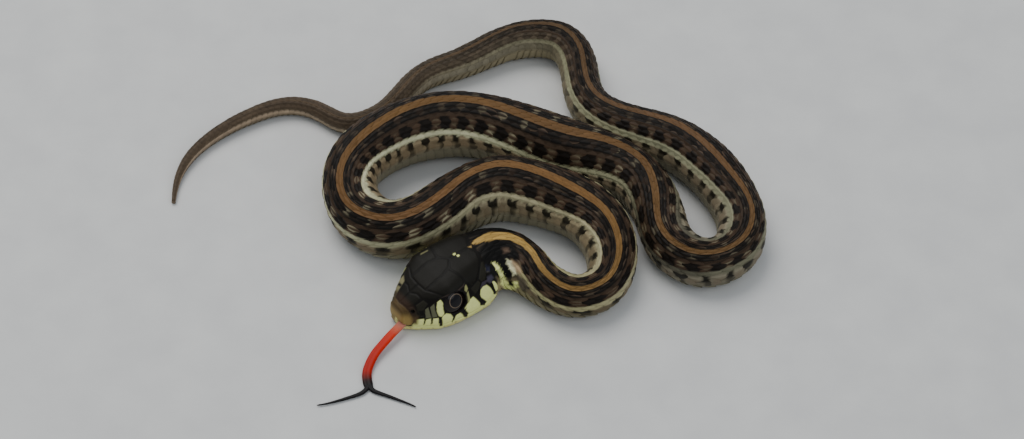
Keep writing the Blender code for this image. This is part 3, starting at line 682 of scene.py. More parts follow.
# Marks painted over plates and scales: the black behind the lip plates and on the nape, the pale crescent
# behind the jaw and the patch where the side stripe starts, and the pair of pale spots on the crown
BOTH, LEFT, RIGHT = (-1, 1), (-1,), (1,)
MARKS = [
    ("nape", BLACK, 0.3, BOTH, [
        (12.6, 14), (12.9, 50), (13.5, 70), (15.0, 80), (16.8, 90), (18.6, 98), (19.7, 93), (20.6, 82),
        (21.4, 74), (20.0, 50), (19.4, 30), (17, 14), (14.5, 9)]),
    ("stripe_tip", linear(170, 140, 84), 0.1, LEFT, [(11.95, -1), (12.35, 3.5), (12.5, 0)]),
    ("nape_blotch", linear(92, 74, 60), 0.25, BOTH, [(16.7, 31), (17.7, 29), (18.1, 36), (17.2, 41)]),
    ("nape_fleck", linear(66, 54, 44), 0.2, BOTH, [(19.7, 28), (20.3, 26), (20.7, 38), (20.2, 42)]),
    ("dark_temple", linear(38, 38, 52), 0.15, BOTH, [(12.9, 42), (13.7, 51), (13.4, 59), (12.5, 53)]),
    ("violet_temple", linear(62, 58, 70), 0.2, BOTH, [
        (12.4, 62), (13.5, 66), (13.9, 76), (13.1, 77), (12.3, 70)]),
    ("nose_blot", SEAM_DARK, 0.1, BOTH, [(1.9, 60), (2.45, 64), (2.4, 80), (1.9, 78)]),
    ("nose_side", linear(84, 66, 42), 0.3, BOTH, [(1.0, 66), (1.7, 80), (1.5, 100), (1.0, 100)]),
    ("nose_flank", linear(128, 122, 90), 0.15, RIGHT, [
        (0.3, 28), (1.3, 32), (2.9, 29), (3.4, 42), (2.6, 62), (0.4, 62)]),
    ("nose_flank_spot", SEAM_DARK, 0.12, RIGHT, [(2.1, 30), (2.4, 30), (2.5, 48), (2.1, 48)]),
    ("lip_edge", LIP_CREAM, 0.12, BOTH, [
        (1.0, 106), (4, 105), (9, 106), (13.3, 108), (14.6, 128), (9, 133), (4, 131), (1.2, 129)]),
    ("chin_front_side", linear(140, 120, 68), 0.25, RIGHT, [
        (-2, 98), (1.0, 98), (1.9, 118), (1.4, 140), (-2, 140)]),
    # A thin lighter line along the brow ridge over the eye: a painted highlight
    ("brow_painted_highlight", linear(62, 52, 46), 0.06, BOTH, [
        (4.4, 50), (5.3, 53.5), (6.5, 56.5), (8.0, 52), (8.3, 46), (7.9, 49.5), (6.5, 54), (5.3, 51)]),
    ("blot_3_4", SEAM_DARK, 0.08, BOTH, [(3.85, 88), (4.15, 90), (4.22, 118), (3.83, 116)]),
    ("blot_4_5", SEAM_DARK, 0.07, BOTH, [(5.75, 92), (5.98, 97), (5.62, 110), (5.42, 119), (5.45, 104)]),
    ("blot_5_6", SEAM_DARK, 0.1, BOTH, [
        (5.6, 88), (6.7, 85), (7.2, 90), (7.85, 106), (7.65, 124), (7.15, 112), (6.85, 101), (6.5, 95),
        (5.85, 96)]),
    ("blot_6_7", SEAM_DARK, 0.1, BOTH, [
        (8.8, 60), (9.3, 74), (10.1, 86), (10.8, 97), (11.3, 106), (10.9, 115), (10.2, 108), (9.9, 98),
        (9.35, 86), (8.9, 77), (8.6, 72)]),
    ("blot_7_8", SEAM_DARK, 0.1, BOTH, [
        (11.7, 70), (12.1, 70), (13.0, 84), (13.6, 100), (14.0, 118), (13.6, 116), (13.2, 104),
        (12.6, 87)]),
    ("crescent", LIP_CREAM, 0.08, BOTH, [
        (14.2, 46), (14.9, 51), (15.7, 60), (17.8, 78), (19.2, 93), (19.6, 104), (20.5, 93), (21.6, 84),
        (21.9, 95), (20.4, 130), (18.6, 146), (14.4, 138), (15.5, 122), (17.6, 114), (18.3, 104),
        (17.4, 91), (16.1, 79), (15.0, 66)]),
    ("jaw_tan", linear(160, 146, 110), 0.3, BOTH, [
        (15.0, 118), (17.8, 112), (18.8, 122), (18.4, 146), (14.4, 140)]),
    ("throat_spot", SEAM_DARK, 0.1, BOTH, [(20.0, 96), (20.8, 95), (20.95, 110), (20.0, 112)]),
    ("throat_dot", SEAM_DARK, 0.08, BOTH, [(21.5, 78), (21.95, 74), (21.95, 84)]),
    ("patch", linear(208, 204, 164), 0.1, LEFT, [
        (17.9, 50), (18.6, 53), (19.0, 51), (19.5, 55), (20.1, 56), (20.5, 62), (21.0, 70), (20.4, 78),
        (20.0, 70), (19.35, 69), (19.0, 62), (18.5, 63)]),
    ("patch_tail", linear(172, 146, 112), 0.3, LEFT, [
        (18.9, 49), (20.9, 51), (21.6, 57), (21.4, 63), (20.9, 66), (20.3, 62), (19.6, 58)]),
    ("neck_side", linear(84, 76, 62), 0.3, LEFT, [
        (21.0, 68), (22.6, 66), (23.3, 80), (22.6, 98), (21.6, 84)]),
    ("far_patch", linear(190, 182, 146), 0.2, RIGHT, [
        (18.4, 66), (20.4, 62), (21.8, 66), (21.4, 80), (20.2, 86)]),
    ("crown_spot", LIP_CREAM, 0.04, LEFT, [
        (9.62, -2.4), (9.8, -3.7), (10.05, -3.0), (10.02, -1.1), (9.72, -0.9)]),
    ("crown_spot_2", LIP_CREAM, 0.04, LEFT, [
        (9.92, 1.2), (10.2, 1.4), (10.3, 3.6), (10.05, 5.0), (9.88, 3.6)]),
    ("brow_streak", linear(110, 106, 74), 0.1, RIGHT, [(6.6, 34), (7.7, 31), (7.8, 34), (6.8, 38)]),
]
CHART_LONG, CHART_ROUND = 0.2, 2.0   # steps of a chart of how far round the head each place is
chart_along = np.arange(-2, 26, CHART_LONG)
chart_turn = np.arange(0, 181, CHART_ROUND)
chart_points = form(np.maximum(chart_along, SNOUT)[:, None], chart_turn[None, :])
chart_steps = np.linalg.norm(np.diff(chart_points, axis=1), axis=2)
chart_girth = np.concatenate([np.zeros((len(chart_along), 1)), np.cumsum(chart_steps, axis=1)], axis=1)
MARKS_END = 24           # no painted mark lies further along


def girth(along, turn):
    """How far round from the middle of the back a place on the head or nape is, in millimetres."""
    row = np.clip((along - chart_along[0]) / CHART_LONG, 0, len(chart_along) - 1.001)
    column = np.clip(np.abs(turn) / CHART_ROUND, 0, len(chart_turn) - 1.001)
    i, j = row.astype(int), column.astype(int)
    u, v = row - i, column - j
    near, far = (chart_girth[k, j] * (1 - v) + chart_girth[k, j + 1] * v for k in (i, i + 1))
    return np.sign(turn) * (near * (1 - u) + far * u)


def depth_inside(outline, along, across):
    """How far each place lies inside an outline, in millimetres; outside it, as a negative depth."""
    outline = np.array(outline, float)
    corners = np.stack([outline[:, 0], girth(outline[:, 0], outline[:, 1])], 1)
    nearest = np.full(along.shape, 1e9)
    inside = np.zeros(along.shape, bool)
    for (s0, w0), (s1, w1) in zip(corners, np.roll(corners, -1, axis=0)):
        ds, dw = s1 - s0, w1 - w0
        share = np.clip(((along - s0) * ds + (across - w0) * dw) / max(ds * ds + dw * dw, 1e-9), 0, 1)
        nearest = np.minimum(nearest, np.hypot(along - s0 - share * ds, across - w0 - share * dw))
        crosses = (w0 > across) != (w1 > across)
        inside ^= crosses & (along < s0 + (across - w0) * ds / (dw if dw else 1e-9))
    return np.where(inside, nearest, -nearest)


def both_sides(outline, whole):
    mirrored = [(along, -turn) for along, turn in outline]
    if whole:
        return [outline + mirrored[::-1]]
    return [outline, mirrored]


def painted_marks(along, turn, colour):
    """Lay the painted marks of the head and nape over colours."""
    near = along < MARKS_END
    if not near.any():
        return colour
    s, part = along[near], colour[near]
    across = girth(s, turn[near])
    for name, paint, soft, sides, outline in MARKS:
        for side in sides:
            depth = depth_inside([(place, side * turned) for place, turned in outline], s, across)
            part = laid_over(part, paint, smooth(depth, -soft, soft))
    colour[near] = part
    return colour


SKIN_DEPTH = 0.15        # how far the skin lies inside the outer surface, below the scales
SKIN_SHARE = 0.3         # of the half width, where the tail is too thin for that depth
GROOVE = 0.05            # depth of the seams between the head's plates
SEAM_HALF = 0.11
LIP_SWELL = 0.05
MOUTH_DEEP, MOUTH_HALF = 0.12, 0.08
EYE_ALONG = 6.35
EYE_OUT = 4.75
EYE_UP = 4.25
EYE_RADIUS = 1.64
EYE_DEPTH = 0.8
EYE_TILT = 20
SOCKET_EDGE, SOCKET_DEEP = (1.3, 1.55), 0.75
RIM_RADIUS, RIM_HALF, RIM_HIGH = 1.68, 0.13, 0.07
BARE_EDGE, DARK_EDGE = (1.7, 1.9), (1.62, 1.8)     # round the eye, of the level and of the dark skin
NOSTRIL = (1.3, 2.0, 3.65)
NOSTRIL_EDGE, NOSTRIL_DEEP = (0.12, 0.34), 0.4
NOTCH = (-0.92, 1.2)     # the gap in the lips for the tongue: right and up
NOTCH_HALF = (0.66, 0.42)
NOTCH_DEEP = 1.3


def inset(along):
    """How far inside the outer surface the skin lies."""
    return np.minimum(SKIN_DEPTH, SKIN_SHARE * np.interp(along, STEPS, half_width))


def in_head(along, right, up):
    """A place given by its distance along, to the right and up, in millimetres."""
    return Vector(beside_route(along, right, up))


def out_of_head(side, tilt):
    """The direction straight out of one side of the head, tilted up."""
    level = (in_head(EYE_ALONG, side, 0) - in_head(EYE_ALONG, 0, 0)).normalized()
    return level * math.cos(math.radians(tilt)) + Vector((0, 0, math.sin(math.radians(tilt))))


HEAD_SIDES = 288
BODY_SIDES = 96
head_rings = np.concatenate([
    [-0.028, -0.02, 0.0, 0.03, 0.07, 0.12, 0.18, 0.26], np.arange(SNOUT, HEAD_END + 4.6, 0.085)])
JOIN = head_rings[-1]
body_rings = np.linspace(JOIN, LENGTH, 680)[1:]


def skin_grid(rings, sides):
    along, turn = np.meshgrid(rings, np.arange(sides) * 360.0 / sides - 180, indexing="ij")
    return along, turn, form(along, turn), outward(along, turn)


along, turn, points, normals = skin_grid(head_rings, HEAD_SIDES)
across = girth(along, turn)
turned = np.abs(turn)
relief = np.full(along.shape, -GROOVE)
colour = np.tile(SEAM_DARK, (*along.shape, 1))
jaw = smooth(turned, 111, 116) * (1 - smooth(along, 13, 16))
colour = laid_over(colour, JAW_CREAM * 0.7, jaw)
plated = [(plate, True) for plate in MIDDLE_PLATES] + [(plate, False) for plate in SIDE_PLATES]
for (name, paint, outline), whole in plated:
    swell = LIP_SWELL if name.startswith("lip") else 0.0
    for one in both_sides(outline, whole):
        depth = depth_inside(one, along, across)
        share = smooth(depth, -0.02, SEAM_HALF)
        relief = np.maximum(relief, -GROOVE + share * (GROOVE + swell * smooth(depth, 0, 0.6)))
        colour = laid_over(colour, paint, smooth(depth, -0.03, 0.05))
marks = body_marks(along, to_place(along, turn), along, np.zeros(along.shape))
low = smooth(turned, 50, 90)
colour = laid_over(colour, marks, smooth(along, 12.4 + 1.6 * low, 13.2 + 2.2 * low))
colour = painted_marks(along, turn, colour)
flank = smooth(turned, 52, 60)
under_scales = smooth(along, 12.2, 13.2) * (1 - flank) + smooth(along, 14.5, 16) * flank
relief = relief * (1 - under_scales) - SKIN_DEPTH * under_scales

# The mouth runs from corner to corner under the lip plates
mouth_off = np.abs(np.abs(across) - np.abs(girth(along, np.full(along.shape, float(MOUTH_TURN)))))
mouth_on = 1 - smooth(along, 12.8, 13.6)
relief -= MOUTH_DEEP * np.exp(-(mouth_off / MOUTH_HALF)**2) * mouth_on
# A thin darker line is painted along the mouth: painted shade in the crease between the lips
colour = laid_over(colour, linear(90, 76, 50), 0.5 * np.exp(-(mouth_off / 0.06)**2) * mouth_on)
nose_top = smooth(points[..., 2], 2.3, 3.7) * (1 - smooth(along, 1.2, 1.9)) * (turned < 100)
colour = laid_over(colour, linear(52, 38, 28), 0.85 * nose_top)
for side in (-1, 1):
    direction = np.array(out_of_head(side, EYE_TILT))
    offset = points - np.array(in_head(EYE_ALONG, side * EYE_OUT, EYE_UP))
    depth_to_eye = offset @ direction
    off_axis = np.linalg.norm(offset - depth_to_eye[..., None] * direction, axis=-1)
    near = (np.abs(depth_to_eye) < 2.5) & (turn * side > 0)
    socket = near * (1 - smooth(off_axis, *SOCKET_EDGE))
    rim = near * np.exp(-((off_axis - RIM_RADIUS) / RIM_HALF)**2)
    bare = near * (1 - smooth(off_axis, *BARE_EDGE))
    relief = relief * (1 - bare) - SOCKET_DEEP * socket + RIM_HIGH * rim
    colour = laid_over(colour, linear(24, 20, 20), near * (1 - smooth(off_axis, *DARK_EDGE)) * 0.9)
    nostril = np.array(in_head(NOSTRIL[0], side * NOSTRIL[1], NOSTRIL[2]))
    hole = np.linalg.norm(points - nostril, axis=-1)
    relief -= NOSTRIL_DEEP * (1 - smooth(hole, *NOSTRIL_EDGE))
    # The nostril's opening is painted near black: painted shade inside the hole
    colour = laid_over(colour, linear(14, 12, 12), 1 - smooth(hole, 0.2, 0.36))
head_points = points + normals * relief[..., None]

# The gap in the front of the lips is pushed back into the head
heading = np.array(in_head(1, 0, 0) - in_head(0, 0, 0))
local = head_points - np.array(in_head(0, 0, 0))
gap_right = (local @ np.array(out_of_head(1, 0)) - NOTCH[0]) / NOTCH_HALF[0]
gap_up = (local[..., 2] - NOTCH[1]) / NOTCH_HALF[1]
in_gap = (1 - smooth(np.hypot(gap_right, gap_up), 0.75, 1.05)) * (along < 1.2)
head_points += heading * (in_gap * np.maximum(NOTCH_DEEP - local @ heading, 0))[..., None]
# The gap is painted dark red-brown: the flesh of the mouth, darkened by painted shade
colour = laid_over(colour, linear(60, 30, 26), in_gap)
head_points[..., 2] = np.maximum(head_points[..., 2], 0.0)

along, turn, points, normals = skin_grid(body_rings, BODY_SIDES)
body_points = points - normals * inset(along)[..., None]
body_colour = body_marks(along, to_place(along, turn), along, np.full(along.shape, 0.8))
body_colour = painted_marks(along, turn, body_colour)


def quads(first, rings, sides):
    """The faces of a tube whose rings of points are numbered from first."""
    numbers = first + np.arange(rings * sides).reshape(rings, sides)
    near, far = numbers[:-1], numbers[1:]
    return np.stack([near, np.roll(near, -1, 1), np.roll(far, -1, 1), far], -1).reshape(-1, 4).tolist()


head_total = len(head_rings) * HEAD_SIDES
tail_end = head_total + len(body_rings) * BODY_SIDES
faces = quads(0, len(head_rings), HEAD_SIDES) + quads(head_total, len(body_rings), BODY_SIDES)
ratio = HEAD_SIDES // BODY_SIDES
for side in range(BODY_SIDES):
    fine_edge = [head_total - HEAD_SIDES + (side * ratio + i) % HEAD_SIDES for i in range(ratio + 1)]
    faces.append(fine_edge + [head_total + (side + 1) % BODY_SIDES, head_total + side])
faces.append(list(range(HEAD_SIDES))[::-1])
faces.append(list(range(tail_end - BODY_SIDES, tail_end)))
skin_points = np.concatenate([head_points.reshape(-1, 3), body_points.reshape(-1, 3)])
skin_colour = np.concatenate([colour.reshape(-1, 3), body_colour.reshape(-1, 3)])


def add_colour(item, values):
    layer = item.data.color_attributes.new("marks", "FLOAT_COLOR", "POINT")
    layer.data.foreach_set("color", np.concatenate([values, np.ones((len(values), 1))], 1).ravel())


def marked_finish(name, roughness, shine, streaks, bump):
    """A finish that takes its colour from the marks, with fine mottling, streaks and a grain."""
    made, shader, start = finish(name, {"Specular IOR Level": shine})
    broad = start.noise(0.35, 3)
    fine = start.noise(4.0, 3, 0.6)
    shadow = 0.78 + 0.3 * broad + streaks * (fine - 0.5)
    dull = roughness + 0.18 * (fine - 0.5)
    bumped = start.node("ShaderNodeBump", values={"Strength": 0.35, "Distance": bump * MM, "Height": fine})
    feed(shader, {"Base Color": start.marks() * shadow, "Roughness": dull, "Normal": bumped})
    return made


skin_finish = marked_finish("skin", 0.45, 0.1, 0.2, 0.03)
skin = mesh_object("skin", skin_points, faces, skin_finish)
add_colour(skin, skin_colour)
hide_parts("head", "neck", *[f"body_{n}" for n in range(1, 11)], "tail_1", "tail_2", "tail_3")
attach(skin, "root")

# The scales of the back and sides are thin horny leaves with a keel down the middle. They lie in nineteen
# rows, each scale rooted in the skin and lapping over the one behind, and the rows grow fewer to the tail.
ROW_EDGES = [3.75, 11.35, 19.15, 27.15, 35.35, 43.85, 52.65, 62.15, 74.15, 92.0]
ROWS_BY_LENGTH = [(0, 9), (150, 8), (195, 7), (212, 6), (220, 5), (232, 4), (245, 3), (258, 2)]
FIRST_SCALES = [(0, 12.3), (14, 12.6), (30, 12.4), (52, 13.3), (66, 14.6), (80, 15.4), (92, 15.8)]
SCALE_LONG = 1.42        # in pitches, so that scales lap
SCALE_WIDE = 1.42        # in row widths
SCALE_U = np.array([0.0, 0.12, 0.3, 0.48, 0.64, 0.78, 0.89, 0.97, 1.0])
SCALE_V = np.array([-1.0, -0.72, -0.2, 0.0, 0.2, 0.72, 1.0])
SCALE_OUTLINE = np.array([0.52, 0.78, 0.97, 1.0, 0.93, 0.78, 0.58, 0.32, 0.14])
KEEL = 0.035
DOME = 0.035
TIP_LIFT = 0.10
ROOT_LIFT = -0.035
LEAF = 0.035             # thickness
FULL_SIZE = 2.2          # half width of the body from which its scales have their full thickness
UNWRAP_PATCH = 0.003
random = np.random.default_rng(7)


def leaf_grid(lengthwise, crosswise):
    """The pattern of a leaf: u and v of its points, its faces, and the numbers of the points on its rim."""
    u, v = (grid.ravel() for grid in np.meshgrid(lengthwise, crosswise, indexing="ij"))
    n = np.arange(len(u)).reshape(len(lengthwise), len(crosswise))
    faces = np.stack([n[:-1, :-1], n[:-1, 1:], n[1:, 1:], n[1:, :-1]], -1).reshape(-1, 4)
    return u, v, faces, np.concatenate([n[0, :-1], n[:-1, -1], n[-1, :0:-1], n[:0:-1, 0]])


def leaf_size(middle):
    return np.minimum(1.0, np.interp(middle, STEPS, half_width) / FULL_SIZE)[:, None]


def leaf_points(along, turn, lift, rim, thick):
    """Points of leaves that stand so high over the skin: their tops, then the lower edges of their rims."""
    base, normal = form(along, turn), outward(along, turn)
    height = lift - inset(along)
    tops = base + normal * height[..., None]
    return np.concatenate([tops, base[:, rim] + normal[:, rim] * (height[:, rim] - thick)[..., None]], 1)


def coat_piece(name, leaf, middle, place, points, colour, rim_painted_shade, patch_wide):
    """One object of many like leaves, each a patch at its root's place on the unwrap of the body."""
    u, v, leaf_faces, rim = leaf
    leaves, size = points.shape[:2]
    first = np.arange(leaves)[:, None, None] * size
    lower = len(u) + np.arange(len(rim))
    skirt = np.stack([rim, lower, np.roll(lower, -1), np.roll(rim, -1)], -1)
    four = (np.concatenate([leaf_faces, skirt])[None] + first).reshape(-1, 4)
    under = (lower + first[:, :, 0]).tolist()
    on_floor = np.maximum(points.reshape(-1, 3), [-np.inf, -np.inf, 0.0])
    made = mesh_object(name, on_floor, four.tolist() + under, scale_finish)
    # The lower edges of the rims are painted darker: painted shade under each leaf
    add_colour(made, np.concatenate([colour, colour[:, rim] * rim_painted_shade], 1).reshape(-1, 3))
    root = np.stack([0.02 + 0.95 * (middle - middle.min()) / np.ptp(middle), 0.5 + 0.48 * place / 180], 1)
    local = np.stack([u, (v + 1) / 2 * patch_wide], 1)
    local = np.concatenate([local, local[rim]]) * UNWRAP_PATCH
    vertex_uv = (root[:, None, :] + local[None]).reshape(-1, 2)
    loop_vertex = np.empty(len(made.data.loops), int)
    made.data.loops.foreach_get("vertex_index", loop_vertex)
    made.data.uv_layers.new(name="OFBake").data.foreach_set("uv", vertex_uv[loop_vertex].ravel())
    made.data.set_sharp_from_angle(angle=math.radians(50))
    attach(made, "root")


def whole_counts(begin, end):
    """The numbers of the cross rows of scales from one distance along to another."""
    return np.arange(math.ceil(np.interp(begin, STEPS, scale_count)), np.interp(end, STEPS, scale_count))


roots = []
for which, (begin, rows) in enumerate(ROWS_BY_LENGTH):
    end = ROWS_BY_LENGTH[which + 1][0] if which + 1 < len(ROWS_BY_LENGTH) else LENGTH - 1.5
    edges = np.interp(np.arange(rows + 1) * 9 / rows, np.arange(10), ROW_EDGES)
    for row in range(-rows, rows + 1):
        inner = edges[abs(row) - 1] if row else -edges[0]
        outer = edges[abs(row)]
        place = math.copysign((inner + outer) / 2, row) if row else 0.0
        lowest = max(begin, float(read(FIRST_SCALES, abs(place))))
        for count in whole_counts(lowest, end) + 0.5 * (abs(row) % 2):
            roots.append((float(np.interp(count, scale_count, STEPS)), place, (outer - inner) / 2, row))
roots = np.array(sorted(roots))
leaf = leaf_grid(SCALE_U, SCALE_V)


def scale_leaves(middle, place, half, jitter):
    """Points and colours of scales."""
    u, v, _, rim = leaf
    outline = np.interp(u, SCALE_U, SCALE_OUTLINE)
    pitch = np.interp(middle, STEPS, scale_pitch)
    ends = [form(middle + reach, to_turn(middle, place)) for reach in (0.5, -0.5)]
    stretch = np.clip(np.linalg.norm(ends[0] - ends[1], axis=-1), 0.6, 1.6)
    reach = pitch * SCALE_LONG / stretch**0.45 * (1 + 0.03 * jitter[:, 0])
    s = np.minimum(middle[:, None] + (u - 0.5) * reach[:, None], LENGTH - 0.3)
    p = place[:, None] + v * outline * half[:, None] * SCALE_WIDE + 0.25 * jitter[:, 1:2]
    size = leaf_size(middle)
    keel = KEEL * np.exp(-(v / 0.16)**2) * smooth(u, 0.08, 0.3) * (1 - smooth(u, 0.9, 1.0))
    dome = DOME * (1 - v * v) * np.sin(math.pi * u)
    rise = ROOT_LIFT + (TIP_LIFT - ROOT_LIFT) * smooth(u, -0.1, 0.75) + dome - 0.02 * v * v
    lift = (rise + keel) * size * (1 + 0.12 * jitter[:, 2:3])
    turn = to_turn(s, p)
    points = leaf_points(s, turn, lift, rim, (LEAF + 0.03 * (1 - u[rim])) * size)
    edge = smooth(np.abs(v), 0.42, 0.72) * np.ones(s.shape)
    colour = body_marks(s, p, np.broadcast_to(middle[:, None], s.shape), edge)
    colour = painted_marks(s, turn, colour)
    # Painted highlight down the keel, and painted shade towards the scale's sides and at its root, where the
    # neighbouring scales lap over it
    keel_highlight_and_gap_shade = 0.9 + 0.14 * np.exp(-(v / 0.14)**2) - 0.1 * smooth(np.abs(v), 0.7, 1.0) + 0.1 * smooth(u, 0.0, 0.3)
    return points, colour * (keel_highlight_and_gap_shade * (1 + 0.07 * jitter[:, 3:4]))[..., None]


scale_finish = marked_finish("scales", 0.5, 0.09, 0.35, 0.02)
COATS = 8
for coat in range(COATS):
    part = roots[coat * len(roots) // COATS:(coat + 1) * len(roots) // COATS]
    jitter = np.clip(random.standard_normal((len(part), 4)), -2, 2)
    middle, place, half, row = part.T
    points, colours = scale_leaves(middle, place, half, jitter)
    coat_piece(f"scales_{coat + 1}", leaf, middle, place, points, colours, 0.75, 1)

# The belly has one row of broad smooth plates from the throat to the vent, and a double row under the
# tail. Each plate is a thin band across the belly, and its hind edge laps over the next.
THROAT = 15.6
VENT = 212
PLATE_U = np.array([0.0, 0.2, 0.5, 0.8, 0.95, 1.0])
PLATE_LONG = 1.3         # in pitches, so that plates lap
PLATE_BOW = 0.35
PLATE = 0.06             # thickness
PATCH_WIDE = 60          # of a plate on the unwrap, in widths of a scale's patch


def belly_plates(name, begin, end, shift, low_place, high_place, steps):
    middle = np.interp(whole_counts(begin, end) + shift, scale_count, STEPS)
    u, v, faces, rim = leaf = leaf_grid(PLATE_U, np.linspace(-1, 1, steps))
    pitch = np.interp(middle, STEPS, scale_pitch)
    s = middle[:, None] + ((u - 0.5) * PLATE_LONG - PLATE_BOW * v * v) * pitch[:, None]
    s = np.minimum(s, LENGTH - 0.3)
    narrow = 1 - 0.04 * smooth(u, 0.6, 1.0)
    turn = (low_place + high_place) / 2 + v * narrow * (high_place - low_place) / 2 + np.zeros(s.shape)
    size = leaf_size(middle)
    points = leaf_points(s, turn, size * (-0.04 + 0.16 * smooth(u, 0, 0.8)), rim, PLATE * size)
    turn = (turn + 180) % 360 - 180
    middles = np.broadcast_to(middle[:, None], s.shape)
    colour = painted_marks(s, turn, body_marks(s, to_place(s, turn), middles, np.zeros(s.shape)))
    colour = colour * (1 - 0.25 * smooth(u, 0.85, 1.0))[None, :, None]
    coat_piece(name, leaf, middle, np.zeros(len(middle)), points, colour, 0.7, PATCH_WIDE)


belly_plates("belly_plates", THROAT, VENT, 0, BELLY_TURN - 3, 363 - BELLY_TURN, 27)
belly_plates("tail_plates_right", VENT + 1, LENGTH - 2, 0, BELLY_TURN - 2, 182, 9)
belly_plates("tail_plates_left", VENT + 1, LENGTH - 2, 0.5, 178, 362 - BELLY_TURN, 9)

# The eyes are glass-smooth balls under a clear scale. The wide black pupil has a thin pale rim, the rest of
# the iris is nearly black, and each ball is set into the ring of small plates round it.
IRIS_RING = 0.90         # radius of the pale rim round the pupil
IRIS_RING_WIDE = 0.06
IRIS_RAISED = 0.22       # how far above the middle of the ball the pupil sits
BALL_RINGS, BALL_SIDES = 96, 160
ball_finish, shader, start = finish("eyeball", {"Roughness": 0.08, "Specular IOR Level": 0.22})
feed(shader, {"Base Color": start.marks() * (0.85 + 0.3 * start.noise(6.0, 3))})
for name, side in (("left", -1), ("right", 1)):
    direction = out_of_head(side, EYE_TILT)
    centre = in_head(EYE_ALONG, side * EYE_OUT, EYE_UP) - direction * EYE_DEPTH
    turned = direction.to_track_quat("Z", "Y").to_matrix()
    polar, around = np.meshgrid(
        np.linspace(0.02, math.pi - 0.02, BALL_RINGS), np.arange(BALL_SIDES) * 2 * math.pi / BALL_SIDES,
        indexing="ij")
    flat = np.stack([
        EYE_RADIUS * np.sin(polar) * np.cos(around), EYE_RADIUS * np.sin(polar) * np.sin(around),
        EYE_DEPTH * np.cos(polar)], -1).reshape(-1, 3)
    total = BALL_RINGS * BALL_SIDES
    ball_faces = quads(0, BALL_RINGS, BALL_SIDES) + [
        list(range(BALL_SIDES))[::-1], list(range(total - BALL_SIDES, total))]
    ball = mesh_object(f"eyeball_{name}", flat @ np.array(turned).T + np.array(centre),
                       [face[::-1] for face in ball_faces], ball_finish)
    up_way = np.array(turned.inverted() @ Vector((0, 0, 1)))[:2]
    up_way *= IRIS_RAISED / np.linalg.norm(up_way)
    off = np.hypot(flat[:, 0] - up_way[0], flat[:, 1] - up_way[1])
    shade = np.tile(linear(24, 17, 16), (len(flat), 1))
    shade = laid_over(shade, linear(12, 10, 14), 1 - smooth(off, IRIS_RING - 0.05, IRIS_RING))
    shade = laid_over(shade, linear(140, 120, 98), band(off, IRIS_RING, IRIS_RING + IRIS_RING_WIDE, 0.04))
    add_colour(ball, shade)
    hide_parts(f"eye_{name}")
    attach(ball, "root")

# The tongue is soft flesh, a flat ribbon that comes out of the gap in the lips, hangs to the floor and
# forks into two tips. It is orange-red for most of its length and black at the fork and the tips.
TONGUE = [
    (-13.3, -18.1, 1.2), (-14.0, -19.15, 1.2), (-14.7, -20.2, 1.2), (-15.6, -21.4, 1.15), (-16.6, -22.8, 1.0),
    (-17.6, -24.3, 0.8), (-18.3, -25.9, 0.55), (-18.6, -27.4, 0.4), (-18.5, -28.6, 0.32), (-18.2, -29.8, 0.3),
]
TIPS = [
    [(-18.35, -29.1, 0.3), (-18.6, -29.9, 0.3), (-19.3, -30.6, 0.29), (-20.6, -31.2, 0.28),
     (-21.9, -31.7, 0.27), (-23.8, -32.3, 0.24), (-24.9, -32.5, 0.21)],
    [(-18.15, -29.1, 0.3), (-17.9, -29.9, 0.3), (-17.2, -30.4, 0.29), (-15.8, -31.0, 0.28),
     (-14.5, -31.6, 0.27), (-13.0, -32.3, 0.24), (-12.1, -32.8, 0.21)],
]
TONGUE_HALF_WIDTH = (0.62, 0.64)
TONGUE_HALF_THICK = (0.26, 0.26)
TIP_HALF_WIDTH = (0.36, 0.10)
TIP_HALF_THICK = (0.24, 0.11)
HOLLOW = 0.25            # of the thickness, along the middle of the upper side
STRIP_SIDES = 24
TONGUE_COLOURS = [
    (0.0, 150, 110, 98), (0.12, 176, 128, 114), (0.22, 188, 92, 68), (0.30, 190, 46, 16), (0.42, 182, 28, 3),
    (0.78, 158, 18, 2), (0.85, 104, 15, 4), (0.90, 34, 11, 8), (0.95, 14, 10, 11), (1.0, 12, 9, 11),
]


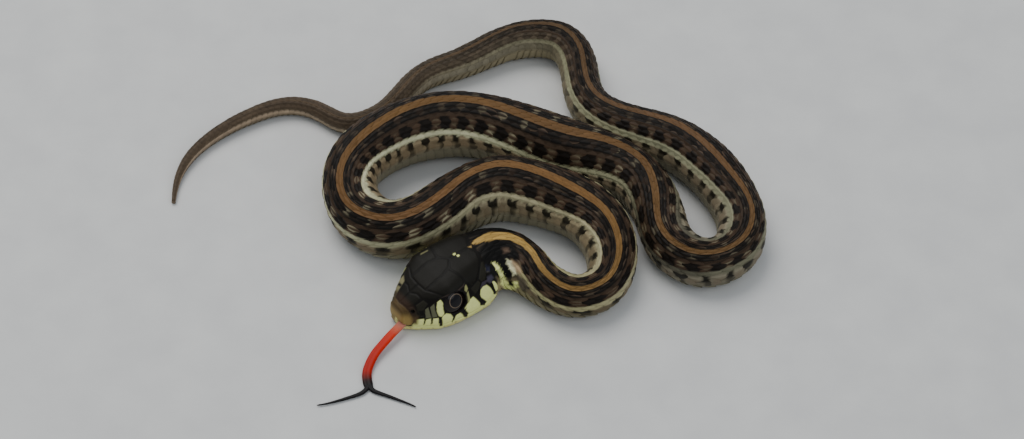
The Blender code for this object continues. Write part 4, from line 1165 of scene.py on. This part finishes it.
def tongue_strip(mesh, points, wide, thick):
    """Add one strip of the tongue, which tapers from its first point to its last, and return its middle."""
    points = [(x - MIDDLE[0], y - MIDDLE[1], up) for x, y, up in points]
    along, places, headings = smooth_path(points, 0.1, 1.0)
    turns = np.arange(STRIP_SIDES) * 2 * math.pi / STRIP_SIDES
    hollow = 1 - HOLLOW * np.exp(-(np.cos(turns) / 0.35)**2) * (np.sin(turns) > 0)
    loops = []
    for i in range(0, len(along), 2):
        share = along[i] / along[-1]
        sideways = np.cross((0, 0, 1), headings[i])
        sideways /= np.linalg.norm(sideways)
        over = np.cross(headings[i], sideways)
        half = wide[0] + (wide[1] - wide[0]) * share
        deep = thick[0] + (thick[1] - thick[0]) * share
        close = math.sqrt(max(1 - max((share - 0.94) / 0.06, 0)**2, 0.02))
        ring = places[i] + close * (np.outer(np.cos(turns) * half, sideways)
                                    + np.outer(np.sin(turns) * deep * hollow, over))
        loops.append([mesh.verts.new(point * MM) for point in ring])
    for near, far in zip(loops, loops[1:]):
        for j in range(STRIP_SIDES):
            after = (j + 1) % STRIP_SIDES
            mesh.faces.new((near[j], near[after], far[after], far[j]))
    mesh.faces.new(loops[0][::-1])
    mesh.faces.new(loops[-1])
    return places


strips = bmesh.new()
stem = tongue_strip(strips, TONGUE, TONGUE_HALF_WIDTH, TONGUE_HALF_THICK)
for tip in TIPS:
    tongue_strip(strips, tip, TIP_HALF_WIDTH, TIP_HALF_THICK)
bmesh.ops.recalc_face_normals(strips, faces=strips.faces)
tongue_finish, shader, start = finish("tongue_flesh", {
    "Specular IOR Level": 0.14, "Subsurface Weight": 0.1, "Subsurface Radius": (0.0006, 0.0002, 0.0001)})
grain = start.noise(5.0, 3)
bumped = start.node("ShaderNodeBump", values={"Strength": 0.3, "Distance": 0.04 * MM, "Height": grain})
feed(shader, {
    "Base Color": start.marks() * (0.8 + 0.4 * grain), "Roughness": 0.32 + 0.2 * grain, "Normal": bumped})
tongue = mesh_object("tongue_ribbon", [], [], tongue_finish)
strips.to_mesh(tongue.data)
strips.free()
joined = tongue.modifiers.new("joined", "REMESH")
joined.mode = "VOXEL"
joined.voxel_size = 0.06 * MM
eased = tongue.modifiers.new("eased", "SMOOTH")
eased.factor = 0.5
eased.iterations = 4
flesh = bpy.data.meshes.new_from_object(tongue.evaluated_get(bpy.context.evaluated_depsgraph_get()))
tongue.modifiers.clear()
tongue.data = flesh
flesh.materials.clear()
flesh.materials.append(tongue_finish)
flesh.shade_smooth()
places = np.empty(len(flesh.vertices) * 3)
flesh.vertices.foreach_get("co", places)
every_second = stem[None, ::2, :] * MM
nearest = np.argmin(np.linalg.norm(places.reshape(-1, 1, 3) - every_second, axis=2), axis=1)
add_colour(tongue, by_length(TONGUE_COLOURS, np.linspace(0, 1, len(stem))[::2][nearest]))
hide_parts("tongue")
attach(tongue, "root")
